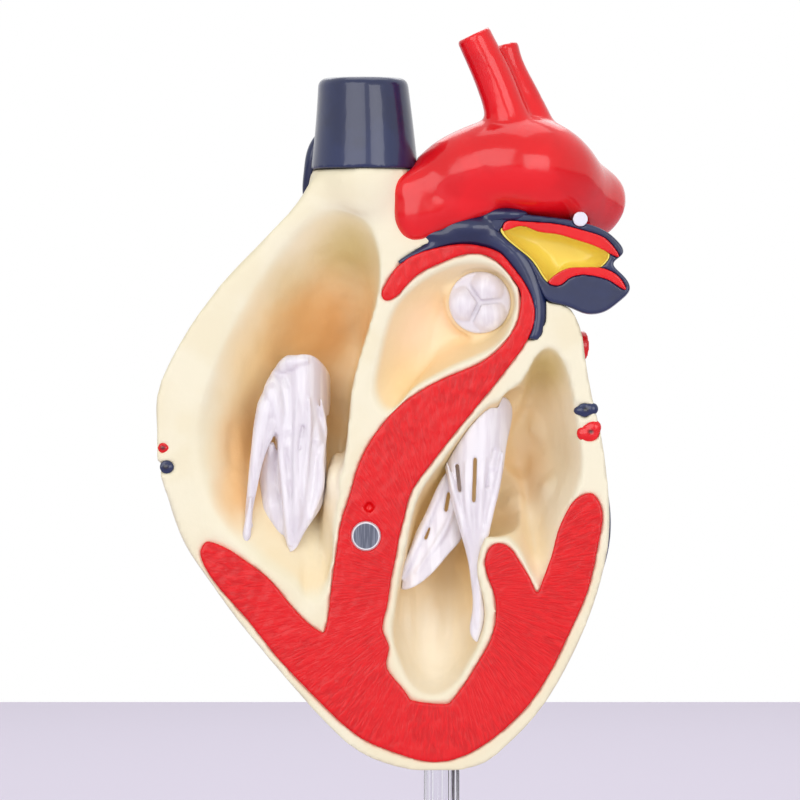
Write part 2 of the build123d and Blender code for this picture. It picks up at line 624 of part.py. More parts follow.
# Whole heart body, front half included, before it is cut
with BuildPart() as whole_body:
    for up, left, right, deep in BODY_SECTION_SHARES:
        with BuildSketch(Plane.XY.offset(face_z(up))):
            with BuildLine():
                Spline(
                    *ring_points(
                        (face_x(left) + face_x(right)) / 2,
                        CUT_Y,
                        (face_x(right) - face_x(left)) / 2,
                        deep * REAR_DEPTH,
                    ),
                    periodic=True,
                )
            make_face()
    loft()

# Collar that carries the cranial vena cava
with BuildPart() as collar:
    for (up, left, right), setback in zip(COLLAR_SECTION_SHARES, COLLAR_SETBACK_SHARES):
        half_width = (face_x(right) - face_x(left)) / 2
        with BuildSketch(Plane.XY.offset(face_z(up))):
            with BuildLine():
                Spline(
                    *ring_points(
                        (face_x(left) + face_x(right)) / 2,
                        CUT_Y + setback * CAVA_SETBACK,
                        half_width,
                        half_width * CAVA_DEPTH_RATIO,
                    ),
                    periodic=True,
                )
            make_face()
    loft()

# Cranial vena cava
with BuildPart() as cranial_vena_cava:
    for up, left, right in CAVA_SECTION_SHARES:
        half_width = (face_x(right) - face_x(left)) / 2
        with BuildSketch(Plane.XY.offset(face_z(up))):
            with BuildLine():
                Spline(
                    *ring_points(
                        (face_x(left) + face_x(right)) / 2,
                        CUT_Y + CAVA_SETBACK,
                        half_width,
                        half_width * CAVA_DEPTH_RATIO,
                    ),
                    periodic=True,
                )
            make_face()
    loft()
    fillet(cranial_vena_cava.edges().sort_by(Axis.Z)[-1], CAVA_EDGE_FILLET)
    cava_top_up, cava_top_left, cava_top_right = CAVA_SECTION_SHARES[-1]
    with BuildSketch(Plane.XY.offset(face_z(cava_top_up))):
        with Locations(
            ((face_x(cava_top_left) + face_x(cava_top_right)) / 2, CUT_Y + CAVA_SETBACK)
        ):
            Circle(CAVA_LUMEN_RADIUS)
    extrude(amount=-CAVA_LUMEN_DEPTH, mode=Mode.SUBTRACT)

# Hollows of the chambers
right_chamber = hollow(
    RIGHT_CHAMBER_SHARES,
    RIGHT_CHAMBER_CENTRE_SHARE,
    RIGHT_CHAMBER_LEVEL_SHARES,
    RIGHT_CHAMBER_DEPTH,
)
outflow = hollow(OUTFLOW_SHARES, OUTFLOW_CENTRE_SHARE, OUTFLOW_LEVEL_SHARES, OUTFLOW_DEPTH)
left_atrium = hollow(
    LEFT_ATRIUM_SHARES,
    LEFT_ATRIUM_CENTRE_SHARE,
    LEFT_ATRIUM_LEVEL_SHARES,
    LEFT_CHAMBER_DEPTH,
)
left_ventricle = hollow(
    LEFT_VENTRICLE_SHARES,
    LEFT_VENTRICLE_CENTRE_SHARE,
    LEFT_CHAMBER_LEVEL_SHARES,
    LEFT_CHAMBER_DEPTH,
)
mitral_opening = hollow(
    MITRAL_OPENING_SHARES,
    MITRAL_OPENING_CENTRE_SHARE,
    MITRAL_OPENING_LEVEL_SHARES,
    MITRAL_OPENING_DEPTH,
)

# Magnet in the septum
magnet_x, magnet_z = face_points([MAGNET_SHARE])[0]
with BuildPart() as septum_magnet:
    with BuildSketch(behind(-PLATE_PROUD)):
        with Locations((magnet_x, magnet_z)):
            Circle(MAGNET_DIAMETER / 2)
    extrude(amount=-MAGNET_THICKNESS)
    chamfer(septum_magnet.edges().group_by(Axis.Y)[0], MAGNET_CHAMFER)
with BuildPart() as magnet_seat:
    with BuildSketch(behind(-PLATE_PROUD)):
        with Locations((magnet_x, magnet_z)):
            Circle(MAGNET_DIAMETER / 2)
    extrude(amount=-MAGNET_THICKNESS)

# Cut muscle let into the cut face: the walls and the septum as one plate
with BuildPart() as muscle_blank:
    with BuildSketch(behind(-PLATE_PROUD)):
        with BuildLine():
            Spline(*face_points(MUSCLE_OUTER_SHARES))
            Spline(*face_points(LEFT_WALL_INNER_SHARES))
            Spline(*face_points(PAPILLARY_SHARES))
            Spline(*face_points(LEFT_FLOOR_SHARES))
            Spline(*face_points(SEPTUM_RIGHT_SHARES))
            Spline(*face_points(SEPTUM_LEFT_SHARES))
            Spline(*face_points(RIGHT_WALL_UPPER_SHARES))
        make_face()
    extrude(amount=-(PLATE_PROUD + PLATE_DEPTH))
with BuildPart() as muscle_section:
    add(muscle_blank.part)
    add(magnet_seat.part, mode=Mode.SUBTRACT)
    with BuildSketch(behind(-PLATE_PROUD)):
        with Locations(face_points([DIMPLE_SHARE])[0]):
            Circle(DIMPLE_DIAMETER / 2)
    extrude(amount=-DIMPLE_DEPTH, mode=Mode.SUBTRACT)

# Aorta and the two arteries that leave its arch
aorta_planes = station_planes(station_points(AORTA_STATION_SHARES, AORTA_DEPTH_SHARES))
trunk_planes = station_planes(station_points(TRUNK_STATION_SHARES, TRUNK_DEPTH_SHARES))
subclavian_planes = station_planes(
    station_points(SUBCLAVIAN_STATION_SHARES, SUBCLAVIAN_DEPTH_SHARES)
)
with BuildPart() as ligamentum_arteriosum:
    with BuildSketch(behind(-LIGAMENT_PROUD)):
        with Locations(face_points([LIGAMENT_SHARE])[0]):
            Circle(LIGAMENT_RADIUS)
    extrude(amount=-(LIGAMENT_PROUD + LIGAMENT_DEPTH))
with BuildPart() as aortic_arch:
    add(tapered_vessel(aorta_planes, AORTA_RADIUS, AORTA_RADIUS_SHARES))
    add(cranial_vena_cava.part, mode=Mode.SUBTRACT)
    add(end_lumen(aorta_planes[-1], AORTA_LUMEN_RADIUS, -ARTERY_LUMEN_DEPTH), mode=Mode.SUBTRACT)
    add(ligamentum_arteriosum.part, mode=Mode.SUBTRACT)
with BuildPart() as brachiocephalic_trunk:
    add(tapered_vessel(trunk_planes, TRUNK_RADIUS, TRUNK_RADIUS_SHARES))
    add(end_lumen(trunk_planes[0], TRUNK_LUMEN_RADIUS, ARTERY_LUMEN_DEPTH), mode=Mode.SUBTRACT)
    add(aortic_arch.part, mode=Mode.SUBTRACT)
with BuildPart() as left_subclavian_artery:
    add(tapered_vessel(subclavian_planes, SUBCLAVIAN_RADIUS, SUBCLAVIAN_RADIUS_SHARES))
    add(
        end_lumen(subclavian_planes[0], SUBCLAVIAN_LUMEN_RADIUS, ARTERY_LUMEN_DEPTH),
        mode=Mode.SUBTRACT,
    )
    add(aortic_arch.part, mode=Mode.SUBTRACT)
    add(brachiocephalic_trunk.part, mode=Mode.SUBTRACT)

# Pulmonary trunk, the dark crescent round the outflow
outflow_trunk_depth_shares = [
    (radius_share * OUTFLOW_TRUNK_RADIUS - OUTFLOW_TRUNK_PROUD) / REAR_DEPTH
    for radius_share in OUTFLOW_TRUNK_RADIUS_SHARES
]
outflow_trunk_planes = station_planes(
    station_points(OUTFLOW_TRUNK_STATION_SHARES, outflow_trunk_depth_shares),
    Vector(0, -1, 0),
)
outflow_trunk_blank = tapered_vessel(
    outflow_trunk_planes, OUTFLOW_TRUNK_RADIUS, OUTFLOW_TRUNK_RADIUS_SHARES
)
# Opened pulmonary artery: dark lobe, yellow lining and red cut rims
with BuildPart() as pulmonary_rim:
    with BuildSketch(behind(-RIM_PROUD)):
        for rim_shares in (UPPER_RIM_SHARES, LOWER_RIM_SHARES):
            with BuildLine():
                Spline(*face_points(rim_shares), periodic=True)
            make_face()
    extrude(amount=-(RIM_PROUD + RIM_DEPTH))
lining_seat = hollow(
    LINING_SHARES, LINING_CENTRE_SHARE, LINING_OUTER_LEVEL_SHARES, LINING_DEPTH
)
lining_bore = hollow(
    LINING_SHARES,
    LINING_CENTRE_SHARE,
    LINING_INNER_LEVEL_SHARES,
    LINING_DEPTH - LINING_WALL,
)
with BuildPart() as pulmonary_lining:
    add(lining_seat)
    add(lining_bore, mode=Mode.SUBTRACT)
    add(pulmonary_rim.part, mode=Mode.SUBTRACT)
with BuildPart() as pulmonary_trunk:
    add(outflow_trunk_blank)
    add(muscle_blank.part, mode=Mode.SUBTRACT)
    add(aortic_arch.part, mode=Mode.SUBTRACT)
    add(lining_seat, mode=Mode.SUBTRACT)
    add(pulmonary_rim.part, mode=Mode.SUBTRACT)
with BuildPart() as right_pulmonary_artery:
    add(hollow(LOBE_SHARES, LOBE_CENTRE_SHARE, LOBE_LEVEL_SHARES, LOBE_DEPTH))
    add(lining_seat, mode=Mode.SUBTRACT)
    add(pulmonary_rim.part, mode=Mode.SUBTRACT)
    add(aortic_arch.part, mode=Mode.SUBTRACT)
    add(pulmonary_trunk.part, mode=Mode.SUBTRACT)
    add(ligamentum_arteriosum.part, mode=Mode.SUBTRACT)

# Vessels over the surface
with BuildPart() as right_coronary_artery:
    add(
        surface_vessel(
            RIGHT_CORONARY_TURNS,
            RIGHT_CORONARY_UP_SHARES,
            RIGHT_CORONARY_INSET_SHARES,
            RIGHT_CORONARY_RADIUS,
        )
    )
with BuildPart() as great_cardiac_vein:
    add(
        surface_vessel(
            GREAT_VEIN_TURNS,
            GREAT_VEIN_UP_SHARES,
            GREAT_VEIN_INSET_SHARES,
            GREAT_VEIN_RADIUS,
        )
    )
with BuildPart() as circumflex_artery:
    add(
        surface_vessel(
            CIRCUMFLEX_TURNS,
            CIRCUMFLEX_UP_SHARES,
            CIRCUMFLEX_INSET_SHARES,
            CIRCUMFLEX_RADIUS,
        )
    )
with BuildPart() as small_cardiac_vein:
    add(
        surface_vessel(
            SMALL_VEIN_TURNS,
            SMALL_VEIN_UP_SHARES,
            SMALL_VEIN_INSET_SHARES,
            SMALL_VEIN_RADIUS,
        )
    )
    add(great_cardiac_vein.part, mode=Mode.SUBTRACT)
with BuildPart() as middle_cardiac_vein:
    add(
        surface_vessel(
            MIDDLE_VEIN_TURNS,
            MIDDLE_VEIN_UP_SHARES,
            MIDDLE_VEIN_INSET_SHARES,
            MIDDLE_VEIN_RADIUS,
        )
    )
    add(great_cardiac_vein.part, mode=Mode.SUBTRACT)
with BuildPart() as left_marginal_vein:
    add(
        surface_vessel(
            MARGINAL_VEIN_TURNS,
            MARGINAL_VEIN_UP_SHARES,
            MARGINAL_VEIN_INSET_SHARES,
            MARGINAL_VEIN_RADIUS,
        )
    )
    add(circumflex_artery.part, mode=Mode.SUBTRACT)

# Stubs on the back
caudal_vena_cava_blank = vein_stub(
    CAUDAL_CAVA_TURN,
    CAUDAL_CAVA_UP_SHARE,
    CAUDAL_CAVA_DROP,
    CAUDAL_CAVA_RADIUS,
    CAUDAL_CAVA_LENGTH,
    CAUDAL_CAVA_ROOT,
)
with BuildPart() as pulmonary_vein_blanks:
    for turn, up, radius, length in zip(
        PULMONARY_VEIN_TURNS,
        PULMONARY_VEIN_UP_SHARES,
        PULMONARY_VEIN_RADIUS_SHARES,
        PULMONARY_VEIN_LENGTH_SHARES,
    ):
        add(
            vein_stub(
                turn,
                up,
                0,
                radius * PULMONARY_VEIN_RADIUS,
                length * PULMONARY_VEIN_LENGTH,
                PULMONARY_VEIN_ROOT,
            )
        )

# Azygos vein behind the cranial vena cava
azygos_points = station_points(AZYGOS_PATH_SHARES, AZYGOS_DEPTH_SHARES)
with BuildPart() as azygos_vein:
    with BuildLine() as azygos_path:
        Spline(*azygos_points)
    with BuildSketch(Plane(origin=azygos_path.line @ 0, z_dir=azygos_path.line % 0)):
        Circle(AZYGOS_RADIUS)
    sweep()
    add(cranial_vena_cava.part, mode=Mode.SUBTRACT)

# Heart shell: body and collar, hollowed, with a seat for every piece that is let in
with BuildPart() as valve_seat:
    with BuildSketch(behind(VALVE_SEAT_FRONT)):
        with Locations(face_points([VALVE_SHARE])[0]):
            Circle(VALVE_SEAT_RADIUS)
    extrude(amount=-(VALVE_SEAT_BACK - VALVE_SEAT_FRONT))
with BuildPart() as valve_well:
    with BuildSketch(behind(VALVE_SEAT_FRONT)):
        with Locations(face_points([VALVE_SHARE])[0]):
            Circle(VALVE_SEAT_RADIUS)
    extrude(amount=VALVE_SEAT_FRONT + LEAFLET_OVERRUN)
with BuildPart() as cut_shell:
    add(whole_body.part)
    split(bisect_by=Plane.XZ.offset(-CUT_Y), keep=Keep.BOTTOM)
    add(collar.part)
    add(right_chamber, mode=Mode.SUBTRACT)
    add(outflow, mode=Mode.SUBTRACT)
    add(valve_seat.part)
    add(valve_well.part, mode=Mode.SUBTRACT)
    add(left_atrium, mode=Mode.SUBTRACT)
    add(left_ventricle, mode=Mode.SUBTRACT)
    add(mitral_opening, mode=Mode.SUBTRACT)
    add(outflow_trunk_blank, mode=Mode.SUBTRACT)
    add(muscle_blank.part, mode=Mode.SUBTRACT)
    add(magnet_seat.part, mode=Mode.SUBTRACT)
    add(aortic_arch.part, mode=Mode.SUBTRACT)
    add(right_pulmonary_artery.part, mode=Mode.SUBTRACT)
    add(pulmonary_rim.part, mode=Mode.SUBTRACT)
    add(azygos_vein.part, mode=Mode.SUBTRACT)
    for vessel in (
        right_coronary_artery,
        great_cardiac_vein,
        circumflex_artery,
        small_cardiac_vein,
        middle_cardiac_vein,
        left_marginal_vein,
    ):
        add(vessel.part, mode=Mode.SUBTRACT)
    with BuildSketch(Plane.XY.offset(APEX_Z - SOCKET_DEPTH)):
        Circle(ROD_DIAMETER / 2 + RUNNING_CLEARANCE)
    extrude(amount=2 * SOCKET_DEPTH, mode=Mode.SUBTRACT)
with BuildPart() as heart_shell:
    add(cut_shell.part.solids().sort_by(SortBy.VOLUME)[-1])

# Stubs seated on the shell
with BuildPart() as caudal_vena_cava:
    add(caudal_vena_cava_blank)
    add(heart_shell.part, mode=Mode.SUBTRACT)
with BuildPart() as pulmonary_veins:
    add(pulmonary_vein_blanks.part)
    add(heart_shell.part, mode=Mode.SUBTRACT)

# Cusps of the semilunar valve
valve_x, valve_z = face_points([VALVE_SHARE])[0]
cusp_parts = []
for cusp_turn in CUSP_TURNS:
    turn_angle = math.radians(cusp_turn)
    cusp_centre = Vector(
        valve_x + CUSP_OFFSET * math.cos(turn_angle),
        CUT_Y + VALVE_SEAT_FRONT - CUSP_HEIGHT + CUSP_SPHERE_RADIUS,
        valve_z + CUSP_OFFSET * math.sin(turn_angle),
    )
    with BuildPart() as cusp:
        with BuildSketch(behind(VALVE_SEAT_FRONT)):
            with Locations((valve_x, valve_z)):
                Circle(VALVE_RADIUS)
        extrude(amount=CUSP_HEIGHT)
        with BuildSketch(behind(VALVE_SEAT_FRONT)):
            with BuildLine():
                hub = (
                    valve_x + CUSP_GAP * math.cos(turn_angle),
                    valve_z + CUSP_GAP * math.sin(turn_angle),
                )
                wings = [
                    (
                        hub[0] + CUSP_WEDGE_LENGTH * math.cos(turn_angle + side),
                        hub[1] + CUSP_WEDGE_LENGTH * math.sin(turn_angle + side),
                    )
                    for side in (-math.pi / len(CUSP_TURNS), math.pi / len(CUSP_TURNS))
                ]
                Polyline(hub, *wings, close=True)
            make_face()
        extrude(amount=CUSP_HEIGHT, mode=Mode.INTERSECT)
        with Locations(cusp_centre):
            Sphere(CUSP_SPHERE_RADIUS, mode=Mode.INTERSECT)
    cusp_parts.append(cusp.part)
with BuildPart() as pulmonary_valve_cusps:
    for cusp_part in cusp_parts:
        add(cusp_part)


def seated_leaflet(outline_shares, slit_shares, *tube):
    """Leaflet cut from its tube to its outline and trimmed where it meets the wall."""
    with BuildPart() as leaflet:
        add(leaflet_sheet(*tube))
        add(leaflet_outline(outline_shares), mode=Mode.INTERSECT)
        if slit_shares:
            add(slit_cutter(slit_shares), mode=Mode.SUBTRACT)
        add(heart_shell.part, mode=Mode.SUBTRACT)
        add(muscle_section.part, mode=Mode.SUBTRACT)
    return leaflet.part


with BuildPart() as tricuspid_valve:
    add(
        seated_leaflet(
            TRICUSPID_SHARES,
            TRICUSPID_SLIT_SHARES,
            TRICUSPID_TOP_SHARE,
            TRICUSPID_HALF_WIDTH,
            TRICUSPID_HALF_DEPTH,
            TRICUSPID_FRONT,
            TRICUSPID_TILT,
            TRICUSPID_APRON_SHARE,
        )
    )
with BuildPart() as tricuspid_strand:
    add(
        seated_leaflet(
            STRAND_SHARES,
            None,
            STRAND_TOP_SHARE,
            STRAND_HALF_WIDTH,
            STRAND_HALF_DEPTH,
            STRAND_FRONT,
            STRAND_TILT,
            STRAND_APRON_SHARE,
        )
    )
with BuildPart() as mitral_front_leaflet:
    add(
        seated_leaflet(
            FRONT_MITRAL_SHARES,
            FRONT_MITRAL_SLIT_SHARES,
            FRONT_MITRAL_TOP_SHARE,
            FRONT_MITRAL_HALF_WIDTH,
            FRONT_MITRAL_HALF_DEPTH,
            FRONT_MITRAL_FRONT,
            FRONT_MITRAL_TILT,
            FRONT_MITRAL_APRON_SHARE,
        )
    )
with BuildPart() as mitral_rear_leaflet:
    add(
        seated_leaflet(
            REAR_MITRAL_SHARES,
            REAR_MITRAL_SLIT_SHARES,
            REAR_MITRAL_TOP_SHARE,
            REAR_MITRAL_HALF_WIDTH,
            REAR_MITRAL_HALF_DEPTH,
            REAR_MITRAL_FRONT,
            REAR_MITRAL_TILT,
            REAR_MITRAL_APRON_SHARE,
        )
    )
    add(mitral_front_leaflet.part, mode=Mode.SUBTRACT)

# One labelled STEP file for each piece
heart_shell.part.label = "heart_shell"
export_step(heart_shell.part, "parts/heart_shell.step")
muscle_section.part.label = "muscle_section"
export_step(muscle_section.part, "parts/muscle_section.step")
septum_magnet.part.label = "septum_magnet"
export_step(septum_magnet.part, "parts/septum_magnet.step")
cranial_vena_cava.part.label = "cranial_vena_cava"
export_step(cranial_vena_cava.part, "parts/cranial_vena_cava.step")
azygos_vein.part.label = "azygos_vein"
export_step(azygos_vein.part, "parts/azygos_vein.step")
caudal_vena_cava.part.label = "caudal_vena_cava"
export_step(caudal_vena_cava.part, "parts/caudal_vena_cava.step")
aortic_arch.part.label = "aortic_arch"
export_step(aortic_arch.part, "parts/aortic_arch.step")
brachiocephalic_trunk.part.label = "brachiocephalic_trunk"
export_step(brachiocephalic_trunk.part, "parts/brachiocephalic_trunk.step")
left_subclavian_artery.part.label = "left_subclavian_artery"
export_step(left_subclavian_artery.part, "parts/left_subclavian_artery.step")
ligamentum_arteriosum.part.label = "ligamentum_arteriosum"
export_step(ligamentum_arteriosum.part, "parts/ligamentum_arteriosum.step")
pulmonary_trunk.part.label = "pulmonary_trunk"
export_step(pulmonary_trunk.part, "parts/pulmonary_trunk.step")
right_pulmonary_artery.part.label = "right_pulmonary_artery"
export_step(right_pulmonary_artery.part, "parts/right_pulmonary_artery.step")
pulmonary_lining.part.label = "pulmonary_lining"
export_step(pulmonary_lining.part, "parts/pulmonary_lining.step")
pulmonary_rim.part.label = "pulmonary_rim"
export_step(pulmonary_rim.part, "parts/pulmonary_rim.step")
pulmonary_veins.part.label = "pulmonary_veins"
export_step(pulmonary_veins.part, "parts/pulmonary_veins.step")
pulmonary_valve_cusps.part.label = "pulmonary_valve_cusps"
export_step(pulmonary_valve_cusps.part, "parts/pulmonary_valve_cusps.step")
tricuspid_valve.part.label = "tricuspid_valve"
export_step(tricuspid_valve.part, "parts/tricuspid_valve.step")
tricuspid_strand.part.label = "tricuspid_strand"
export_step(tricuspid_strand.part, "parts/tricuspid_strand.step")
mitral_front_leaflet.part.label = "mitral_front_leaflet"
export_step(mitral_front_leaflet.part, "parts/mitral_front_leaflet.step")
mitral_rear_leaflet.part.label = "mitral_rear_leaflet"
export_step(mitral_rear_leaflet.part, "parts/mitral_rear_leaflet.step")
right_coronary_artery.part.label = "right_coronary_artery"
export_step(right_coronary_artery.part, "parts/right_coronary_artery.step")
circumflex_artery.part.label = "circumflex_artery"
export_step(circumflex_artery.part, "parts/circumflex_artery.step")
small_cardiac_vein.part.label = "small_cardiac_vein"
export_step(small_cardiac_vein.part, "parts/small_cardiac_vein.step")
great_cardiac_vein.part.label = "great_cardiac_vein"
export_step(great_cardiac_vein.part, "parts/great_cardiac_vein.step")
middle_cardiac_vein.part.label = "middle_cardiac_vein"
export_step(middle_cardiac_vein.part, "parts/middle_cardiac_vein.step")
left_marginal_vein.part.label = "left_marginal_vein"
export_step(left_marginal_vein.part, "parts/left_marginal_vein.step")
support_rod.part.label = "support_rod"
export_step(support_rod.part, "parts/support_rod.step")
base.part.label = "base"
export_step(base.part, "parts/base.step")
base_pad.part.label = "base_pad"
export_step(base_pad.part, "parts/base_pad.step")
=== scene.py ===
"""Builds the looks of the half-section dog heart on its rod and base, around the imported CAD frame."""

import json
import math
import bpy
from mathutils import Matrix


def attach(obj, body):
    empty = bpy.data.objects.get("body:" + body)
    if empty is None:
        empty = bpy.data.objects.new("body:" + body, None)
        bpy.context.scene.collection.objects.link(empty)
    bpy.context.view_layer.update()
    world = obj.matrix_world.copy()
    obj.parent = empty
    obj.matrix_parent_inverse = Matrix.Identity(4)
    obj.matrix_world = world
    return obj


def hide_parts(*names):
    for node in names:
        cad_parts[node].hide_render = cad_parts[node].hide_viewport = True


bl_info = {
    "name": "Dog heart model",
    "version": (1, 0, 0),
    "blender": (4, 5, 0),
    "location": "View3D > Sidebar > Heart model",
    "description": "Builds the painted half-section dog heart, its clear rod and its base",
    "category": "Add Mesh",
}

import bpy
from mathutils import Vector
from bpy.props import FloatProperty, FloatVectorProperty, PointerProperty

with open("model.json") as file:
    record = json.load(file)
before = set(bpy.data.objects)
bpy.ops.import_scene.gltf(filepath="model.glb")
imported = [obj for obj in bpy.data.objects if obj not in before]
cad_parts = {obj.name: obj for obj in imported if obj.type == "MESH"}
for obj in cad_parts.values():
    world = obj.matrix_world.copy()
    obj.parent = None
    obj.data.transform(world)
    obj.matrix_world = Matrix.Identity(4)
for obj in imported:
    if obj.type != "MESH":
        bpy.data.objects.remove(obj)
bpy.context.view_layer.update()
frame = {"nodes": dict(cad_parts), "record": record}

MM = 0.001

# The photographed cut face, the picture's middle and width on it, and how far before it the camera
# stands and probes start, in metres
CUT_FACE_Y = -9.0 * MM
VIEW_CENTRE_X = -7.0 * MM
VIEW_CENTRE_Z = 128.17 * MM
VIEW_WIDTH = 133.3 * MM
CAMERA_DISTANCE = 900.0 * MM
PROBE_START = 30.0 * MM


def srgb(red, green, blue):
    """A colour read on a 0 to 255 screen scale, as the linear colour that a shader takes."""
    def linear(value):
        share = value / 255.0
        return share / 12.92 if share <= 0.04045 else ((share + 0.055) / 1.055) ** 2.4
    return (linear(red), linear(green), linear(blue), 1.0)


def in_metres(values):
    return [value * MM for value in values]


def colour_property(name, description, value):
    return FloatVectorProperty(
        name=name, description=description, default=value, subtype="COLOR", size=4, min=0.0, max=1.0
    )


def length_property(name, description, value_mm, top_mm):
    return FloatProperty(
        name=name,
        description=description,
        default=value_mm * MM,
        min=0.0,
        max=top_mm * MM,
        precision=5,
        subtype="DISTANCE",
        unit="LENGTH",
    )


def power_property(name, description, value):
    return FloatProperty(name=name, description=description, default=value, min=0.0, unit="POWER")


class ShellSettings(bpy.types.PropertyGroup):
    cream: colour_property("Cream", "Colour of the cast shell and its cut face", srgb(243, 236, 208))
    warm: colour_property("Warm", "Colour of the chamber walls", srgb(249, 216, 157))
    # Painted shade: olive darkens the deep corners of the chambers
    olive: colour_property("Olive", "Shade sprayed into the deep corners", srgb(206, 182, 112))
    # Orange is airbrushed tone in the chambers' middles and painted shade in the right ventricle's deep pits
    orange: colour_property("Orange", "Warm spray in the middle of the chambers", srgb(237, 180, 110))
    pink: colour_property("Pink", "Flesh spray in the outflow", srgb(255, 226, 194))
    # Painted light: pale lightens the septum's ledge and the left chambers where the lamps leave them in
    # shade
    pale: colour_property("Pale", "Light spray in the left chambers and on the septum", srgb(255, 245, 222))
    grain: length_property("Grain", "Voxel size of the cast surface", 0.6, 3.0)
    relief: length_property("Relief", "Height of the soft swells in the chambers", 0.5, 3.0)


class MuscleSettings(bpy.types.PropertyGroup):
    red: colour_property("Red", "Colour of the cut muscle", srgb(230, 12, 20))
    deep_red: colour_property("Deep red", "Colour between the fibres", srgb(212, 8, 16))
    fibre: length_property("Fibre", "Height of the fibre relief", 0.12, 1.0)


class VesselSettings(bpy.types.PropertyGroup):
    artery: colour_property("Artery", "Red of the arteries", srgb(236, 14, 24))
    vein: colour_property("Vein", "Blue of the veins", srgb(28, 40, 82))
    lining: colour_property("Lining", "Yellow inside the pulmonary artery", srgb(252, 234, 104))
    ligament: colour_property("Ligament", "White of the arterial ligament", srgb(232, 230, 240))
    waviness: length_property("Waviness", "Unevenness of the brushed vessels", 0.15, 1.0)


class ValveSettings(bpy.types.PropertyGroup):
    milk: colour_property("Milk", "Colour of the cast valve leaflets", srgb(240, 236, 240))
    # Painted shade: groove greys the valves down the cords' grooves and deep behind their fronts
    groove: colour_property("Groove", "Colour between the cords", srgb(226, 220, 226))


class StandSettings(bpy.types.PropertyGroup):
    clear: colour_property("Clear", "Tint of the clear rod", srgb(247, 248, 250))
    white: colour_property("White", "Colour of the base", srgb(236, 236, 238))
    pad: colour_property("Pad", "Colour of the foam pad", srgb(40, 40, 42))


class StageSettings(bpy.types.PropertyGroup):
    floor: colour_property("Floor", "Colour of the table", srgb(216, 208, 226))
    key: power_property("Key lamp", "Power of the large front lamp", 4.4)
    fill: power_property("Fill lamp", "Power of the side lamp", 3.1)
    top: power_property("Top lamp", "Power of the lamp overhead", 3.0)
    table: power_property("Table lamp", "Power of the lamp over the table behind", 4.5)
    sky: FloatProperty(name="Sky", description="Strength of the light from all round", default=0.45, min=0.0)


# Finishes


def finish(name):
    """A new material with its Principled shader, and the function that adds a node to it."""
    material = bpy.data.materials.new(name)
    material.use_nodes = True
    tree = material.node_tree
    shader = tree.nodes["Principled BSDF"]

    def add(kind, **values):
        node = tree.nodes.new(kind)
        for key, value in values.items():
            if hasattr(node, key) and key not in node.inputs:
                setattr(node, key, value)
            else:
                node.inputs[key].default_value = value
        return node

    return material, tree.links, shader, add


def new_group(name, inputs, outputs):
    """An empty shader group with named sockets; a socket is given as its name, kind and default."""
    group = bpy.data.node_groups.new(name, "ShaderNodeTree")
    for title, kind, default in inputs:
        socket = group.interface.new_socket(name=title, in_out="INPUT", socket_type=kind)
        if default is not None:
            socket.default_value = default
    for title, kind in outputs:
        group.interface.new_socket(name=title, in_out="OUTPUT", socket_type=kind)
    return group, group.nodes.new("NodeGroupInput"), group.nodes.new("NodeGroupOutput")


def soft_spot_group():
    """A soft round mask about a centre, with its own reach along X, Y and Z; its masks lay airbrushed tone,
    painted shade and painted light.
    """
    name = "Airbrush Spot"
    if name in bpy.data.node_groups:
        return bpy.data.node_groups[name]
    group, given, out = new_group(
        name,
        [("Place", "NodeSocketVector", None), ("Centre", "NodeSocketVector", None),
         ("Reach", "NodeSocketVector", (0.01, 0.01, 0.01)), ("Ragged", "NodeSocketFloat", 0.3)],
        [("Mask", "NodeSocketFloat")],
    )
    nodes, links = group.nodes, group.links
    away = nodes.new("ShaderNodeVectorMath")
    away.operation = "SUBTRACT"
    share = nodes.new("ShaderNodeVectorMath")
    share.operation = "DIVIDE"
    far = nodes.new("ShaderNodeVectorMath")
    far.operation = "LENGTH"
    cloud = nodes.new("ShaderNodeTexNoise")
    cloud.inputs["Scale"].default_value = 180.0
    cloud.inputs["Detail"].default_value = 3.0
    uneven = nodes.new("ShaderNodeMath")
    uneven.operation = "MULTIPLY_ADD"
    uneven.inputs[2].default_value = 0.0
    total = nodes.new("ShaderNodeMath")
    fade = nodes.new("ShaderNodeMapRange")
    fade.interpolation_type = "SMOOTHSTEP"
    fade.inputs["From Min"].default_value = 0.25
    fade.inputs["From Max"].default_value = 1.15
    fade.inputs["To Min"].default_value = 1.0
    fade.inputs["To Max"].default_value = 0.0
    links.new(given.outputs["Place"], away.inputs[0])
    links.new(given.outputs["Centre"], away.inputs[1])
    links.new(away.outputs[0], share.inputs[0])
    links.new(given.outputs["Reach"], share.inputs[1])
    links.new(share.outputs[0], far.inputs[0])
    links.new(given.outputs["Place"], cloud.inputs["Vector"])
    links.new(cloud.outputs["Fac"], uneven.inputs[0])
    links.new(given.outputs["Ragged"], uneven.inputs[1])
    links.new(far.outputs["Value"], total.inputs[0])
    links.new(uneven.outputs[0], total.inputs[1])
    links.new(total.outputs[0], fade.inputs["Value"])
    links.new(fade.outputs["Result"], out.inputs["Mask"])
    return group


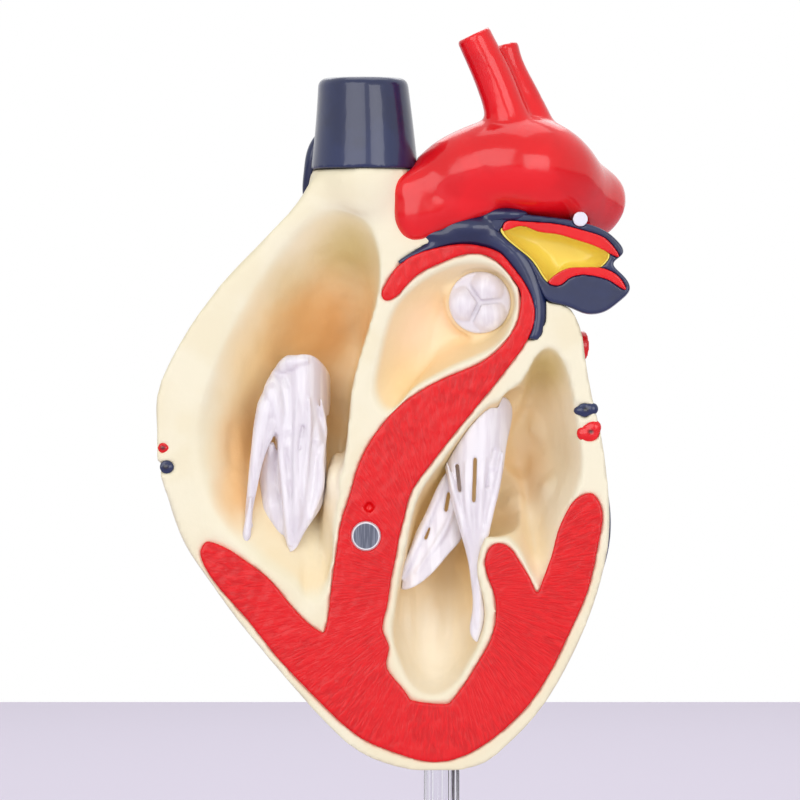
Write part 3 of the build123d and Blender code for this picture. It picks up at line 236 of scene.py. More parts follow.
def brush_group():
    """Brushed paint: a height and a mask from noise that is drawn out by the scale of its place."""
    name = "Brushed Paint"
    if name in bpy.data.node_groups:
        return bpy.data.node_groups[name]
    group, given, out = new_group(
        name,
        [("Place", "NodeSocketVector", None), ("Scale", "NodeSocketFloat", 300.0),
         ("Detail", "NodeSocketFloat", 3.0), ("Distortion", "NodeSocketFloat", 0.2)],
        [("Height", "NodeSocketFloat"), ("Mask", "NodeSocketFloat")],
    )
    nodes, links = group.nodes, group.links
    cloud = nodes.new("ShaderNodeTexNoise")
    edge = nodes.new("ShaderNodeMapRange")
    edge.interpolation_type = "SMOOTHSTEP"
    edge.inputs["From Min"].default_value = 0.4
    edge.inputs["From Max"].default_value = 0.62
    for socket in ("Scale", "Detail", "Distortion"):
        links.new(given.outputs[socket], cloud.inputs[socket])
    links.new(given.outputs["Place"], cloud.inputs["Vector"])
    links.new(cloud.outputs["Fac"], edge.inputs["Value"])
    links.new(cloud.outputs["Fac"], out.inputs["Height"])
    links.new(edge.outputs["Result"], out.inputs["Mask"])
    return group


def grouped(add, links, place, group, **values):
    """A node that shows a shader group, fed with a place."""
    node = add("ShaderNodeGroup", node_tree=group)
    for key, value in values.items():
        node.inputs[key].default_value = value
    links.new(place, node.inputs["Place"])
    return node


def brushed(add, links, place, scale, detail, distortion):
    return grouped(add, links, place, brush_group(), Scale=scale, Detail=detail, Distortion=distortion)


def sprayed(add, links, place, centre, reach, ragged):
    """The mask of a soft spot, for airbrushed tone and for painted shade and light; its centre and reach are
    in millimetres.
    """
    spot = grouped(
        add, links, place, soft_spot_group(), Centre=in_metres(centre), Reach=in_metres(reach), Ragged=ragged
    )
    return spot.outputs["Mask"]


def faded(add, links, value, low, high):
    """Runs softly from 0 to 1 as a value runs from low to high."""
    fade = add("ShaderNodeMapRange", interpolation_type="SMOOTHSTEP")
    fade.inputs["From Min"].default_value = low
    fade.inputs["From Max"].default_value = high
    links.new(value, fade.inputs["Value"])
    return fade.outputs["Result"]


def both(add, links, first, second):
    """A mask that shows where two masks do."""
    product = add("ShaderNodeMath", operation="MULTIPLY")
    links.new(first, product.inputs[0])
    links.new(second, product.inputs[1])
    return product.outputs[0]


def blended(add, links, mask, under, over, amount=1.0):
    """Colour over laid on colour under where the mask shows; each is a colour or a node's output."""
    mix = add("ShaderNodeMix", data_type="RGBA")
    if amount != 1.0:
        less = add("ShaderNodeMath", operation="MULTIPLY")
        links.new(mask, less.inputs[0])
        less.inputs[1].default_value = amount
        mask = less.outputs[0]
    links.new(mask, mix.inputs[0])
    for socket, colour in ((mix.inputs[6], under), (mix.inputs[7], over)):
        if isinstance(colour, bpy.types.NodeSocket):
            links.new(colour, socket)
        else:
            socket.default_value = colour
    return mix.outputs[2]


def embossed(add, links, shader, height, strength, distance):
    bump = add("ShaderNodeBump", Strength=strength, Distance=distance)
    links.new(height, bump.inputs["Height"])
    links.new(bump.outputs["Normal"], shader.inputs["Normal"])


# The chambers as a whole, in millimetres, and the depths behind the cut face between which their warm
# paint and the spots of airbrushed tone, painted shade and painted light fade in
CHAMBERS_CENTRE = (-4.0, 0.0, 120.0)
CHAMBERS_REACH = (43.0, 18.0, 60.0)
WALL_PAINT_DEPTHS = (0.1, 1.3)
SPRAY_SHADE_AND_LIGHT_DEPTHS = (0.05, 0.55)

# The muscle's fibres run outwards from here, in millimetres, and are this much longer than wide
FIBRES_MIDDLE = (-0.3, 0.0, 97.0)
FIBRE_STRETCH = 9.0

# The magnet's middle, and the radii in millimetres between which the painted highlight on its rim fades in
MAGNET_CENTRE = (-12.68 * MM, CUT_FACE_Y, 105.5 * MM)
MAGNET_HIGHLIGHT_RADII = (2.05, 2.25)

# Spots on the shell, in millimetres: colour, centre, reach and strength. Olive spots are painted shade in
# the deep corners. Pale spots are painted light on the septum's ledge and in the left chambers, where the
# lamps leave them in shade. Orange spots are airbrushed tone in the chambers' middles and painted shade in
# the right ventricle's deep pits
SHELL_SPRAY_SHADE_AND_LIGHT = (
    ("warm", (-29.0, -2.0, 134.0), (14.0, 14.0, 22.0), 0.9),
    ("olive", (-15.0, -2.0, 154.5), (10.0, 14.0, 11.0), 0.8),
    ("olive", (-25.0, -2.0, 147.0), (8.0, 14.0, 9.0), 0.3),
    ("orange", (-19.5, 0.0, 139.0), (14.0, 15.0, 14.0), 0.95),
    ("orange", (-32.5, -2.0, 119.5), (9.0, 14.0, 13.0), 0.85),
    ("orange", (-35.0, -2.0, 111.0), (6.5, 12.0, 9.0), 0.85),
    ("orange", (-17.0, 0.0, 126.0), (5.0, 14.0, 8.0), 0.4),
    ("pale", (-17.0, -3.0, 115.0), (5.5, 14.0, 12.0), 0.95),
    ("cream", (-22.0, -3.0, 104.0), (8.0, 14.0, 7.0), 0.6),
    ("pink", (-4.0, -1.0, 140.0), (12.0, 12.0, 10.0), 0.8),
    ("pale", (-2.0, 0.0, 88.0), (11.0, 16.0, 16.0), 0.95),
    ("pale", (-1.0, -2.0, 81.0), (9.0, 14.0, 9.0), 0.8),
    ("pale", (19.0, -1.0, 116.0), (13.0, 14.0, 26.0), 0.8),
    ("olive", (17.5, -1.0, 136.5), (12.0, 15.0, 12.0), 1.0),
    ("olive", (20.0, -1.0, 119.0), (8.0, 14.0, 16.0), 0.3),
    ("orange", (14.0, 0.0, 117.0), (6.0, 14.0, 9.0), 0.45),
    ("orange", (11.0, 0.0, 108.5), (4.0, 12.0, 4.0), 0.3),
    ("olive", (1.5, 0.0, 119.0), (6.0, 14.0, 12.0), 0.8),
)

# Where the shell's creases run out, in millimetres: centre, reach and passes of smoothing
SHELL_SOFT = (
    ((-15.0, -7.0, 162.5), (13.0, 9.0, 7.0), 60),
    ((-30.0, -8.0, 140.0), (10.0, 6.0, 22.0), 40),
    ((-38.0, -8.0, 112.0), (8.0, 6.0, 16.0), 40),
    ((18.0, -8.0, 104.0), (6.0, 5.0, 8.0), 25),
    ((-5.0, -8.0, 88.0), (9.0, 5.0, 16.0), 30),
)

# The roots of the arch's two branches, its own root and its far end, told in the same way
ARCH_SOFT = (
    ((8.0, -4.0, 174.5), (6.0, 8.0, 5.0), 60), ((17.5, -2.0, 174.5), (6.0, 8.0, 5.0), 60),
    ((-1.0, -10.0, 161.5), (12.0, 8.0, 10.0), 200), ((28.0, -4.0, 160.0), (7.0, 12.0, 8.0), 40),
)

# Where the dark trunk's rise meets the crescent, told in the same way
TRUNK_SOFT = (((4.0, -9.0, 156.5), (12.0, 5.0, 5.0), 80),)

# Mounds that carry the arch's root down over the collar, and the dark trunk up to the arch, in
# millimetres: X, Z, and half the width, depth and height; their middle lies this far behind the face
ROOT_MOUNDS = (
    (-4.2, 159.5, 4.2, 2.8, 5.1), (-5.9, 163.0, 2.6, 2.6, 3.2), (-0.8, 159.7, 3.8, 2.8, 3.9),
    (2.2, 160.4, 4.2, 2.8, 3.4), (5.5, 161.2, 4.5, 2.6, 2.8), (-3.0, 163.5, 4.0, 2.8, 4.0),
)
TRUNK_MOUNDS = ((4.4, 156.9, 4.8, 1.8, 2.0), (10.4, 159.1, 4.0, 1.6, 1.2), (0.2, 155.8, 4.0, 1.4, 1.3))
MOUND_SETBACK = 0.5

# The ledge on the septum, low in the right atrium; its middle lies deeper
LEDGE_MOUNDS = ((-17.6, 107.0, 2.6, 8.0, 12.5),)
LEDGE_SETBACK = 8.6

# Ragged ends of the small cut vessels, told as the other mounds are
END_MOUNDS = {
    "right_coronary_artery": ((-46.4, 120.2, 1.1, 0.8, 0.8),),
    "small_cardiac_vein": ((-45.8, 117.0, 1.2, 0.8, 1.0),),
    "circumflex_artery": ((24.3, 122.6, 1.9, 0.8, 1.5), (25.3, 123.6, 1.3, 0.8, 1.3)),
    "great_cardiac_vein": ((23.4, 126.4, 1.5, 0.8, 0.9), (24.9, 126.7, 1.2, 0.8, 1.1)),
}

# Mounds and dips that the caster's hand left in the chambers, in millimetres: where each is seen on
# the cut face, its reach along X and Z, and its height; one below zero is a dip
SHELL_SWELLS = (
    (-17.8, 115.2, 2.2, 4.0, 1.2), (-20.0, 101.5, 1.4, 8.0, 0.8), (-22.7, 97.3, 1.2, 6.0, -0.5),
    (-35.0, 119.0, 1.5, 6.0, -0.6), (-36.7, 114.0, 1.5, 4.0, -0.5), (-16.2, 124.8, 3.0, 4.0, -0.6),
    (15.8, 123.2, 3.5, 3.5, 1.1), (13.0, 117.3, 2.5, 3.0, -1.0), (17.7, 113.5, 3.0, 3.0, 0.9),
    (11.7, 111.0, 2.5, 2.5, 0.9), (16.3, 108.2, 3.0, 3.0, -0.5),
    (-0.5, 91.5, 7.0, 12.0, 1.6), (-5.7, 90.7, 1.5, 9.0, 0.7), (-3.3, 88.2, 1.3, 8.0, -0.35),
    (-1.1, 88.2, 1.6, 9.0, 0.7), (1.4, 89.8, 1.3, 9.0, -0.35), (3.4, 88.2, 1.4, 8.0, 0.6),
    (-2.8, 96.5, 2.5, 3.0, 0.5),
    (21.3, 134.3, 0.5, 1.9, 0.4), (21.8, 131.2, 0.45, 1.5, 0.3), (22.4, 128.4, 0.5, 1.7, 0.4),
)

# Open ends of the small cut vessels, in millimetres: the near-black painted shade in each one's hollow lumen
ARTERY_LUMEN_SHADE = ((-46.5, -9.0, 120.2), (24.8, -9.0, 122.9))
VEIN_LUMEN_SHADE = ((-46.0, -9.0, 117.0), (24.0, -9.0, 126.6))
LUMEN_REACH = (0.75, 1.4, 0.6)

# Cords on the leaflets, in millimetres: X, Z and radius at each station
TRICUSPID_CORDS = (
    ((-28.2, 131.8, 1.6), (-29.2, 127.3, 1.7), (-30.0, 124.0, 1.5), (-30.8, 119.8, 1.15),
     (-31.7, 114.0, 0.8), (-32.3, 109.0, 0.65), (-32.5, 105.5, 1.3)),
    ((-27.3, 130.0, 1.5), (-28.5, 124.5, 1.2), (-29.4, 120.4, 0.8)),
    ((-27.9, 133.0, 1.3), (-28.2, 129.5, 1.8), (-27.6, 126.0, 1.6), (-27.2, 122.5, 0.9)),
    ((-28.0, 132.6, 1.5), (-25.4, 134.4, 1.4), (-22.2, 134.8, 1.2)),
    ((-25.9, 128.5, 0.5), (-26.6, 123.5, 0.9), (-26.8, 119.0, 0.65), (-26.3, 114.0, 0.7),
     (-25.7, 109.0, 0.9), (-25.3, 103.8, 1.6)),
    ((-24.2, 128.5, 0.5), (-24.3, 123.5, 0.6), (-24.5, 119.0, 0.55), (-24.3, 114.0, 0.6),
     (-24.2, 109.0, 1.1), (-24.4, 104.6, 1.4)),
    ((-22.1, 128.5, 0.5), (-22.2, 123.5, 0.6), (-22.5, 119.0, 0.55), (-23.0, 114.5, 0.6),
     (-23.3, 109.5, 0.9)),
    ((-20.2, 128.5, 0.5), (-19.8, 123.2, 0.7), (-20.2, 118.5, 0.65), (-20.5, 113.5, 0.9),
     (-22.0, 108.2, 1.0)),
)
# Skin behind the slits, told in the same way; it lies this far behind the leaflet's front
TRICUSPID_SKIN = (
    ((-25.9, 124.5, 1.6), (-25.4, 120.5, 1.6), (-25.0, 116.0, 1.4)),
    ((-23.3, 125.0, 1.6), (-23.7, 121.5, 1.6), (-23.8, 118.0, 1.4)),
    ((-21.0, 125.0, 1.6), (-21.2, 121.5, 1.6), (-21.5, 118.0, 1.4)),
    ((-28.6, 121.0, 1.6), (-28.6, 115.5, 2.2), (-27.9, 110.0, 2.4), (-26.8, 105.4, 2.4)),
    ((-25.2, 119.0, 1.2), (-25.1, 115.0, 1.5), (-25.0, 111.0, 1.4)),
    ((-26.7, 133.6, 2.4), (-26.5, 130.0, 2.6), (-26.4, 126.5, 2.6), (-26.3, 123.0, 2.4), (-26.2, 120.0, 1.8)),
)
SKIN_SETBACK = 1.15
MITRAL_SKIN = (((9.0, 121.0, 1.2), (8.2, 117.0, 1.3), (7.4, 113.0, 1.2)),)
# The strand's loose end, which stands proud of the wall
STRAND_END = (((-31.9, 112.0, 0.6), (-32.3, 108.0, 0.65), (-32.6, 105.6, 0.8), (-32.9, 103.9, 1.0)),)
FRONT_MITRAL_CORDS = (
    ((0.8, 117.8, 0.6), (2.2, 112.3, 0.55), (3.8, 106.5, 0.6), (5.3, 100.7, 0.7)),
    ((4.0, 117.8, 0.7), (4.2, 112.3, 0.65), (4.7, 107.3, 0.7), (5.7, 101.5, 0.8)),
    ((7.2, 118.5, 0.7), (6.5, 113.2, 0.65), (6.2, 107.3, 0.7), (6.0, 101.5, 0.8)),
    ((10.2, 119.5, 0.7), (9.2, 114.0, 0.65), (7.8, 108.2, 0.65), (6.7, 102.2, 0.75)),
    ((6.0, 102.8, 0.9), (6.0, 96.5, 0.75), (6.0, 91.5, 0.75), (6.0, 89.2, 1.0)),
)
REAR_MITRAL_CORDS = (
    ((0.7, 115.2, 0.7), (-2.3, 108.2, 0.7), (-5.8, 100.5, 0.8), (-6.8, 98.2, 0.8)),
    ((2.5, 111.5, 0.6), (0.0, 105.7, 0.7), (-4.3, 99.2, 0.8)),
)

# For each leaflet, its nodes and what is laid on it: stations, and how far back in millimetres
LEAFLETS = (
    (
        ("tricuspid_valve", "tricuspid_strand"),
        ((TRICUSPID_CORDS, 0.0), (TRICUSPID_SKIN, SKIN_SETBACK), (STRAND_END, -1.0)),
    ),
    (("mitral_front_leaflet",), ((FRONT_MITRAL_CORDS, 0.0), (MITRAL_SKIN, SKIN_SETBACK))),
    (("mitral_rear_leaflet",), ((REAR_MITRAL_CORDS, 0.0),)),
)

# A cord's first and last station shrink by this, so that it grows out of the leaflet, and each
# station sinks by this share of its radius; its depth is the foremost of these places along X
CORD_TIP_SHARE = 0.4
CORD_SINK_SHARE = 0.35
CORD_PROBES = (-1.2, -0.6, 0.0, 0.6, 1.2)

# Membrane behind the cusps of the outflow's valve, in millimetres; the cusps' finish greys it as painted
# shade between the cusps
MEMBRANE_CENTRE = (6.35, -4.9, 144.5)
MEMBRANE_RADIUS = 5.2
MEMBRANE_THICKNESS = 0.8

# How many steps a piece's smoothing and its unevenness fade in; the latter starts this far behind the
# cut face and is whole after the onset
SOFT_RANKS = 4
UNEVEN_RANKS = 6
UNEVEN_START = 0.6 * MM
UNEVEN_ONSET = 3.0 * MM

# The unevenness's wavelength on each piece
SHELL_WAVE = 6.0 * MM
MUSCLE_WAVE = 1.6 * MM
ARCH_WAVE = 7.0 * MM

# The voxels that pieces are recast with; the vessels' are in millimetres
MUSCLE_VOXEL = 0.3 * MM
TRUNK_VOXEL = 0.25 * MM
ARCH_VOXEL = 0.35 * MM
SMALL_VOXEL = 0.2 * MM
LEAFLET_VOXEL = 0.19 * MM
VEIN_VOXELS = {
    "cranial_vena_cava": 0.35, "caudal_vena_cava": 0.35, "azygos_vein": 0.15,
    "right_pulmonary_artery": 0.25, "small_cardiac_vein": 0.2, "great_cardiac_vein": 0.2,
    "middle_cardiac_vein": 0.2, "left_marginal_vein": 0.2,
}
ARTERY_VOXELS = {"right_coronary_artery": 0.2, "circumflex_artery": 0.2, "pulmonary_veins": 0.2}
ARCH_NODES = ("aortic_arch", "brachiocephalic_trunk", "left_subclavian_artery")

# Loose triangles closer than this are merged; edges sharper than this stay sharp on the stand
MERGE_REACH = 0.002 * MM
SHARP_ANGLE = math.radians(30.0)

# The table's near and far edge and its width; the far edge is where the photo's table ends
FLOOR_NEAR = -4.0
FLOOR_FAR = 1.383
FLOOR_WIDTH = 8.0

# The lamps: name, size and place
LAMPS = (
    ("key", 0.8, (-0.38, -0.98, 0.44)),
    ("fill", 0.6, (0.5, -0.95, 0.25)),
    ("top", 0.8, (0.05, 0.1, 1.1)),
    ("table", 1.0, (0.0, 1.1, 0.9)),
)

# The camera's sensor in millimetres, and how far it sees
SENSOR_WIDTH = 36.0
CLIP_END = 20.0


def shell_finish(paint):
    """Satin cream paint, with olive painted shade in the depths, orange and pink tone in the chambers, orange
    painted shade in their deep pits and pale painted light where the lamps leave hollows in shade.
    """
    material, links, shader, add = finish("shell_paint")
    place = add("ShaderNodeTexCoord").outputs["Object"]
    mottle = brushed(add, links, place, scale=70.0, detail=4.0, distortion=0.4)
    colour = blended(add, links, mottle.outputs["Mask"], paint.cream, srgb(238, 227, 192), amount=0.6)
    apart = add("ShaderNodeSeparateXYZ")
    links.new(place, apart.inputs[0])
    depth = apart.outputs["Y"]
    walls = faded(add, links, depth, *(CUT_FACE_Y + behind * MM for behind in WALL_PAINT_DEPTHS))
    spray_shade_and_light = faded(add, links, depth, *(CUT_FACE_Y + behind * MM for behind in SPRAY_SHADE_AND_LIGHT_DEPTHS))
    chambers = sprayed(add, links, place, CHAMBERS_CENTRE, CHAMBERS_REACH, ragged=0.0)
    colour = blended(add, links, both(add, links, walls, chambers), colour, paint.warm, amount=0.9)
    # Olive and the deep orange spots lay painted shade; pale spots lay painted light
    for which, centre, reach, amount in SHELL_SPRAY_SHADE_AND_LIGHT:
        spot = sprayed(add, links, place, centre, reach, ragged=0.3)
        colour = blended(add, links, both(add, links, spot, spray_shade_and_light), colour, getattr(paint, which), amount)
    links.new(colour, shader.inputs["Base Color"])
    shader.inputs["Roughness"].default_value = 0.42
    shader.inputs["Specular IOR Level"].default_value = 0.3
    shader.inputs["Coat Weight"].default_value = 0.1
    shader.inputs["Coat Roughness"].default_value = 0.3
    grain = brushed(add, links, place, scale=900.0, detail=3.0, distortion=0.1)
    embossed(add, links, shader, grain.outputs["Height"], strength=0.25, distance=0.15 * MM)
    return material


def muscle_finish(paint):
    """Gloss red paint, darker between fibres that run outwards from the middle of the left ventricle."""
    material, links, shader, add = finish("muscle_paint")
    place = add("ShaderNodeTexCoord").outputs["Object"]
    turned = add("ShaderNodeMapping", Location=in_metres(-part for part in FIBRES_MIDDLE))
    links.new(place, turned.inputs["Vector"])
    apart = add("ShaderNodeSeparateXYZ")
    links.new(turned.outputs["Vector"], apart.inputs[0])
    angle = add("ShaderNodeMath", operation="ARCTAN2")
    links.new(apart.outputs["Z"], angle.inputs[0])
    links.new(apart.outputs["X"], angle.inputs[1])
    far = add("ShaderNodeVectorMath", operation="LENGTH")
    links.new(turned.outputs["Vector"], far.inputs[0])
    fan = add("ShaderNodeCombineXYZ")
    links.new(angle.outputs[0], fan.inputs[0])
    scaled = add("ShaderNodeMath", operation="MULTIPLY")
    scaled.inputs[1].default_value = FIBRE_STRETCH
    links.new(far.outputs["Value"], scaled.inputs[0])
    links.new(scaled.outputs[0], fan.inputs[1])
    fibres = brushed(add, links, fan.outputs[0], scale=48.0, detail=4.0, distortion=0.5)
    pools = brushed(add, links, place, scale=150.0, detail=3.0, distortion=0.5)
    colour = blended(add, links, fibres.outputs["Mask"], paint.deep_red, paint.red)
    colour = blended(add, links, pools.outputs["Mask"], colour, paint.red, amount=0.6)
    links.new(colour, shader.inputs["Base Color"])
    shader.inputs["Roughness"].default_value = 0.28
    shader.inputs["Specular IOR Level"].default_value = 0.25
    shader.inputs["Coat Weight"].default_value = 0.2
    shader.inputs["Coat Roughness"].default_value = 0.12
    embossed(add, links, shader, fibres.outputs["Height"], strength=0.45, distance=0.3 * MM)
    return material


def gloss_finish(name, colour, shade, lumen_shade=(), roughness=0.18, coat=0.7):
    """Gloss brushed paint with slightly darker pools, and near-black painted shade in the lumen of each cut
    end.
    """
    material, links, shader, add = finish(name)
    place = add("ShaderNodeTexCoord").outputs["Object"]
    pools = brushed(add, links, place, scale=110.0, detail=3.0, distortion=0.3)
    paint = blended(add, links, pools.outputs["Mask"], colour, shade, amount=0.6)
    # Near-black painted shade where each cut end's hollow lies
    for centre in lumen_shade:
        spot = sprayed(add, links, place, centre, LUMEN_REACH, ragged=0.2)
        paint = blended(add, links, spot, paint, srgb(22, 14, 18), amount=0.9)
    links.new(paint, shader.inputs["Base Color"])
    shader.inputs["Roughness"].default_value = roughness
    shader.inputs["Coat Weight"].default_value = coat
    shader.inputs["Coat Roughness"].default_value = 0.08
    shader.inputs["Specular IOR Level"].default_value = 0.3
    waves = brushed(add, links, place, scale=260.0, detail=2.0, distortion=0.2)
    embossed(add, links, shader, waves.outputs["Height"], strength=0.2, distance=0.4 * MM)
    return material


def valve_finish(name, paint, shade_front, shade_back):
    """Milky soft plastic, with painted shade that greys it down the cords' grooves and fades in between two
    depths in millimetres.
    """
    material, links, shader, add = finish(name)
    place = add("ShaderNodeTexCoord").outputs["Object"]
    drawn = add("ShaderNodeMapping", Scale=(1.0, 1.0, 0.12))
    links.new(place, drawn.inputs["Vector"])
    cords = brushed(add, links, drawn.outputs["Vector"], scale=700.0, detail=3.0, distortion=0.1)
    # Painted shade down the cords' grooves
    colour = blended(add, links, cords.outputs["Mask"], paint.groove, paint.milk)
    apart = add("ShaderNodeSeparateXYZ")
    links.new(place, apart.inputs[0])
    # Painted shade that greys the valve as it lies deeper
    deep = faded(add, links, apart.outputs["Y"], shade_front * MM, shade_back * MM)
    colour = blended(add, links, deep, colour, paint.groove, amount=0.8)
    links.new(colour, shader.inputs["Base Color"])
    shader.inputs["Roughness"].default_value = 0.38
    shader.inputs["Subsurface Weight"].default_value = 0.35
    shader.inputs["Subsurface Radius"].default_value = (1.0, 0.95, 1.0)
    shader.inputs["Subsurface Scale"].default_value = 1.2 * MM
    shader.inputs["Coat Weight"].default_value = 0.35
    shader.inputs["Coat Roughness"].default_value = 0.2
    embossed(add, links, shader, cords.outputs["Height"], strength=0.25, distance=0.2 * MM)
    return material


def magnet_finish():
    """Nickel plate with fine scratches, a painted dark reflection over its middle and a painted highlight on
    its rim.
    """
    material, links, shader, add = finish("magnet_nickel")
    place = add("ShaderNodeTexCoord").outputs["Object"]
    drawn = add("ShaderNodeMapping", Scale=(1.0, 1.0, 0.05), Rotation=(0.0, 0.6, 0.0))
    links.new(place, drawn.inputs["Vector"])
    scratch = brushed(add, links, drawn.outputs["Vector"], scale=3500.0, detail=4.0, distortion=0.0)
    # Painted dark reflection: the middle is laid in two dark greys, streaked by the scratches
    colour = blended(add, links, scratch.outputs["Mask"], srgb(84, 88, 102), srgb(116, 120, 134))
    off = add("ShaderNodeVectorMath", operation="SUBTRACT")
    links.new(place, off.inputs[0])
    off.inputs[1].default_value = MAGNET_CENTRE
    far = add("ShaderNodeVectorMath", operation="LENGTH")
    links.new(off.outputs["Vector"], far.inputs[0])
    # Painted highlight on the rim, where the chamfer catches the lamps
    rim = faded(add, links, far.outputs["Value"], *in_metres(MAGNET_HIGHLIGHT_RADII))
    colour = blended(add, links, rim, colour, srgb(222, 224, 228))
    links.new(colour, shader.inputs["Base Color"])
    shader.inputs["Metallic"].default_value = 0.55
    shader.inputs["Roughness"].default_value = 0.34
    embossed(add, links, shader, scratch.outputs["Height"], strength=0.3, distance=0.05 * MM)
    return material


def clear_finish(tint):
    """Clear polished acrylic with a faint drawing line along its length."""
    material, links, shader, add = finish("rod_acrylic")
    place = add("ShaderNodeTexCoord").outputs["Object"]
    drawn = add("ShaderNodeMapping", Scale=(1.0, 1.0, 0.01))
    links.new(place, drawn.inputs["Vector"])
    line = brushed(add, links, drawn.outputs["Vector"], scale=900.0, detail=2.0, distortion=0.0)
    shader.inputs["Base Color"].default_value = tint
    shader.inputs["Roughness"].default_value = 0.08
    shader.inputs["IOR"].default_value = 1.22
    shader.inputs["Transmission Weight"].default_value = 1.0
    embossed(add, links, shader, line.outputs["Height"], strength=0.05, distance=0.03 * MM)
    return material


def moulded_finish(name, colour, shade, roughness, grain_scale, grain_height):
    """Moulded plastic or foam: an even colour with a fine grain."""
    material, links, shader, add = finish(name)
    place = add("ShaderNodeTexCoord").outputs["Object"]
    grain = brushed(add, links, place, scale=grain_scale, detail=3.0, distortion=0.1)
    links.new(blended(add, links, grain.outputs["Mask"], shade, colour), shader.inputs["Base Color"])
    shader.inputs["Roughness"].default_value = roughness
    embossed(add, links, shader, grain.outputs["Height"], strength=0.2, distance=grain_height)
    return material


# Pieces


def select_only(piece):
    bpy.ops.object.select_all(action="DESELECT")
    piece.select_set(True)
    bpy.context.view_layer.objects.active = piece


def apply_modifier(piece, kind, **values):
    modifier = piece.modifiers.new(kind.title(), kind)
    for key, value in values.items():
        setattr(modifier, key, value)
    select_only(piece)
    bpy.ops.object.modifier_apply(modifier=modifier.name)


def joined_copy(node, name):
    """A piece of its own with the node's mesh, its loose triangles merged."""
    source = frame["nodes"][node]
    piece = bpy.data.objects.new(name, source.data.copy())
    bpy.context.scene.collection.objects.link(piece)
    piece.data.materials.clear()
    select_only(piece)
    bpy.ops.object.mode_set(mode="EDIT")
    bpy.ops.mesh.select_all(action="SELECT")
    bpy.ops.mesh.remove_doubles(threshold=MERGE_REACH)
    bpy.ops.object.mode_set(mode="OBJECT")
    return piece


def cast_copy(node, name, voxel, smoothing=4, added=()):
    """The node's form and what is added to it, as one soft casting."""
    return recast(merge_pieces([joined_copy(node, name), *added]), voxel, smoothing)


def merge_pieces(pieces):
    """Joins pieces into the first of them."""
    select_only(pieces[0])
    for piece in pieces[1:]:
        piece.select_set(True)
    bpy.ops.object.join()
    return pieces[0]


def recast(piece, voxel, smoothing, factor=0.5):
    """Remeshes a piece into one skin and smooths it."""
    apply_modifier(piece, "REMESH", mode="VOXEL", voxel_size=voxel, use_smooth_shade=True)
    apply_modifier(piece, "SMOOTH", iterations=smoothing, factor=factor)
    return piece


def seen_place(piece, x, z):
    """Where the front of a piece is seen at x and z from before the cut face, or None."""
    bpy.context.view_layer.update()
    hit, place, _, _ = piece.ray_cast((x, CUT_FACE_Y - PROBE_START, z), (0.0, 1.0, 0.0))
    return place if hit else None


def laid_cord(leaflet, stations, setback):
    """A tapered cord laid on the front of a leaflet; a station is X, Z and radius in millimetres."""
    curve = bpy.data.curves.new("cord", "CURVE")
    curve.dimensions = "3D"
    curve.bevel_depth = MM
    curve.bevel_resolution = 3
    curve.resolution_u = 6
    curve.use_fill_caps = True
    spline = curve.splines.new("BEZIER")
    spline.bezier_points.add(len(stations) - 1)
    depths = []
    for x, z, radius in stations:
        places = [seen_place(leaflet, (x + step) * MM, z * MM) for step in CORD_PROBES]
        depths.append(min((place.y for place in places if place), default=None))
    known = [depth for depth in depths if depth is not None]
    points = spline.bezier_points
    for point, depth, (x, z, radius) in zip(points, depths, stations):
        if depth is None:
            depth = known[-1]
        point.co = (x * MM, depth + CORD_SINK_SHARE * radius * MM + setback * MM, z * MM)
        point.radius = radius * (CORD_TIP_SHARE if point in (points[0], points[-1]) else 1.0)
        point.handle_left_type = point.handle_right_type = "AUTO"
    cord = bpy.data.objects.new("cord", curve)
    bpy.context.scene.collection.objects.link(cord)
    select_only(cord)
    bpy.ops.object.convert(target="MESH")
    return bpy.context.active_object


def mounds(places, setback=MOUND_SETBACK):
    """Round bodies to be cast into a piece, each with its middle this far behind the cut face."""
    made = []
    for x, z, wide, deep, high in places:
        bpy.ops.mesh.primitive_uv_sphere_add(
            segments=48, ring_count=24, radius=MM,
            location=(x * MM, CUT_FACE_Y + setback * MM, z * MM), scale=(wide, deep, high),
        )
        made.append(bpy.context.active_object)
        bpy.ops.object.transform_apply(location=True, rotation=True, scale=True)
    return made


def swell(piece, x, z, reach_x, reach_z, height):
    """Raises a soft mound, or sinks a dip, on the wall that is seen at x and z; all in metres."""
    bpy.ops.object.empty_add(location=seen_place(piece, x, z))
    centre = bpy.context.active_object
    centre.scale = (reach_x, max(reach_x, reach_z), reach_z)
    texture = bpy.data.textures.new("swell", "BLEND")
    texture.progression = "SPHERICAL"
    apply_modifier(
        piece, "DISPLACE", texture=texture, texture_coords="OBJECT", texture_coords_object=centre,
        strength=height, mid_level=0.0,
    )
    bpy.data.objects.remove(centre)
    bpy.data.textures.remove(texture)


def soften(piece, spots):
    """Smooths a piece within a reach of each spot, so that two forms there run into each other."""
    for centre, reach, times in spots:
        centre, reach = Vector(in_metres(centre)), in_metres(reach)
        group = piece.vertex_groups.new(name="near")
        ranks = {}
        for vertex in piece.data.vertices:
            away = Vector([part / length for part, length in zip(vertex.co - centre, reach)]).length
            if away < 1.0:
                ranks.setdefault(math.ceil((1.0 - away) * SOFT_RANKS), []).append(vertex.index)
        for rank, members in ranks.items():
            group.add(members, rank / SOFT_RANKS, "REPLACE")
        apply_modifier(piece, "SMOOTH", iterations=times, factor=0.5, vertex_group="near")
        piece.vertex_groups.clear()


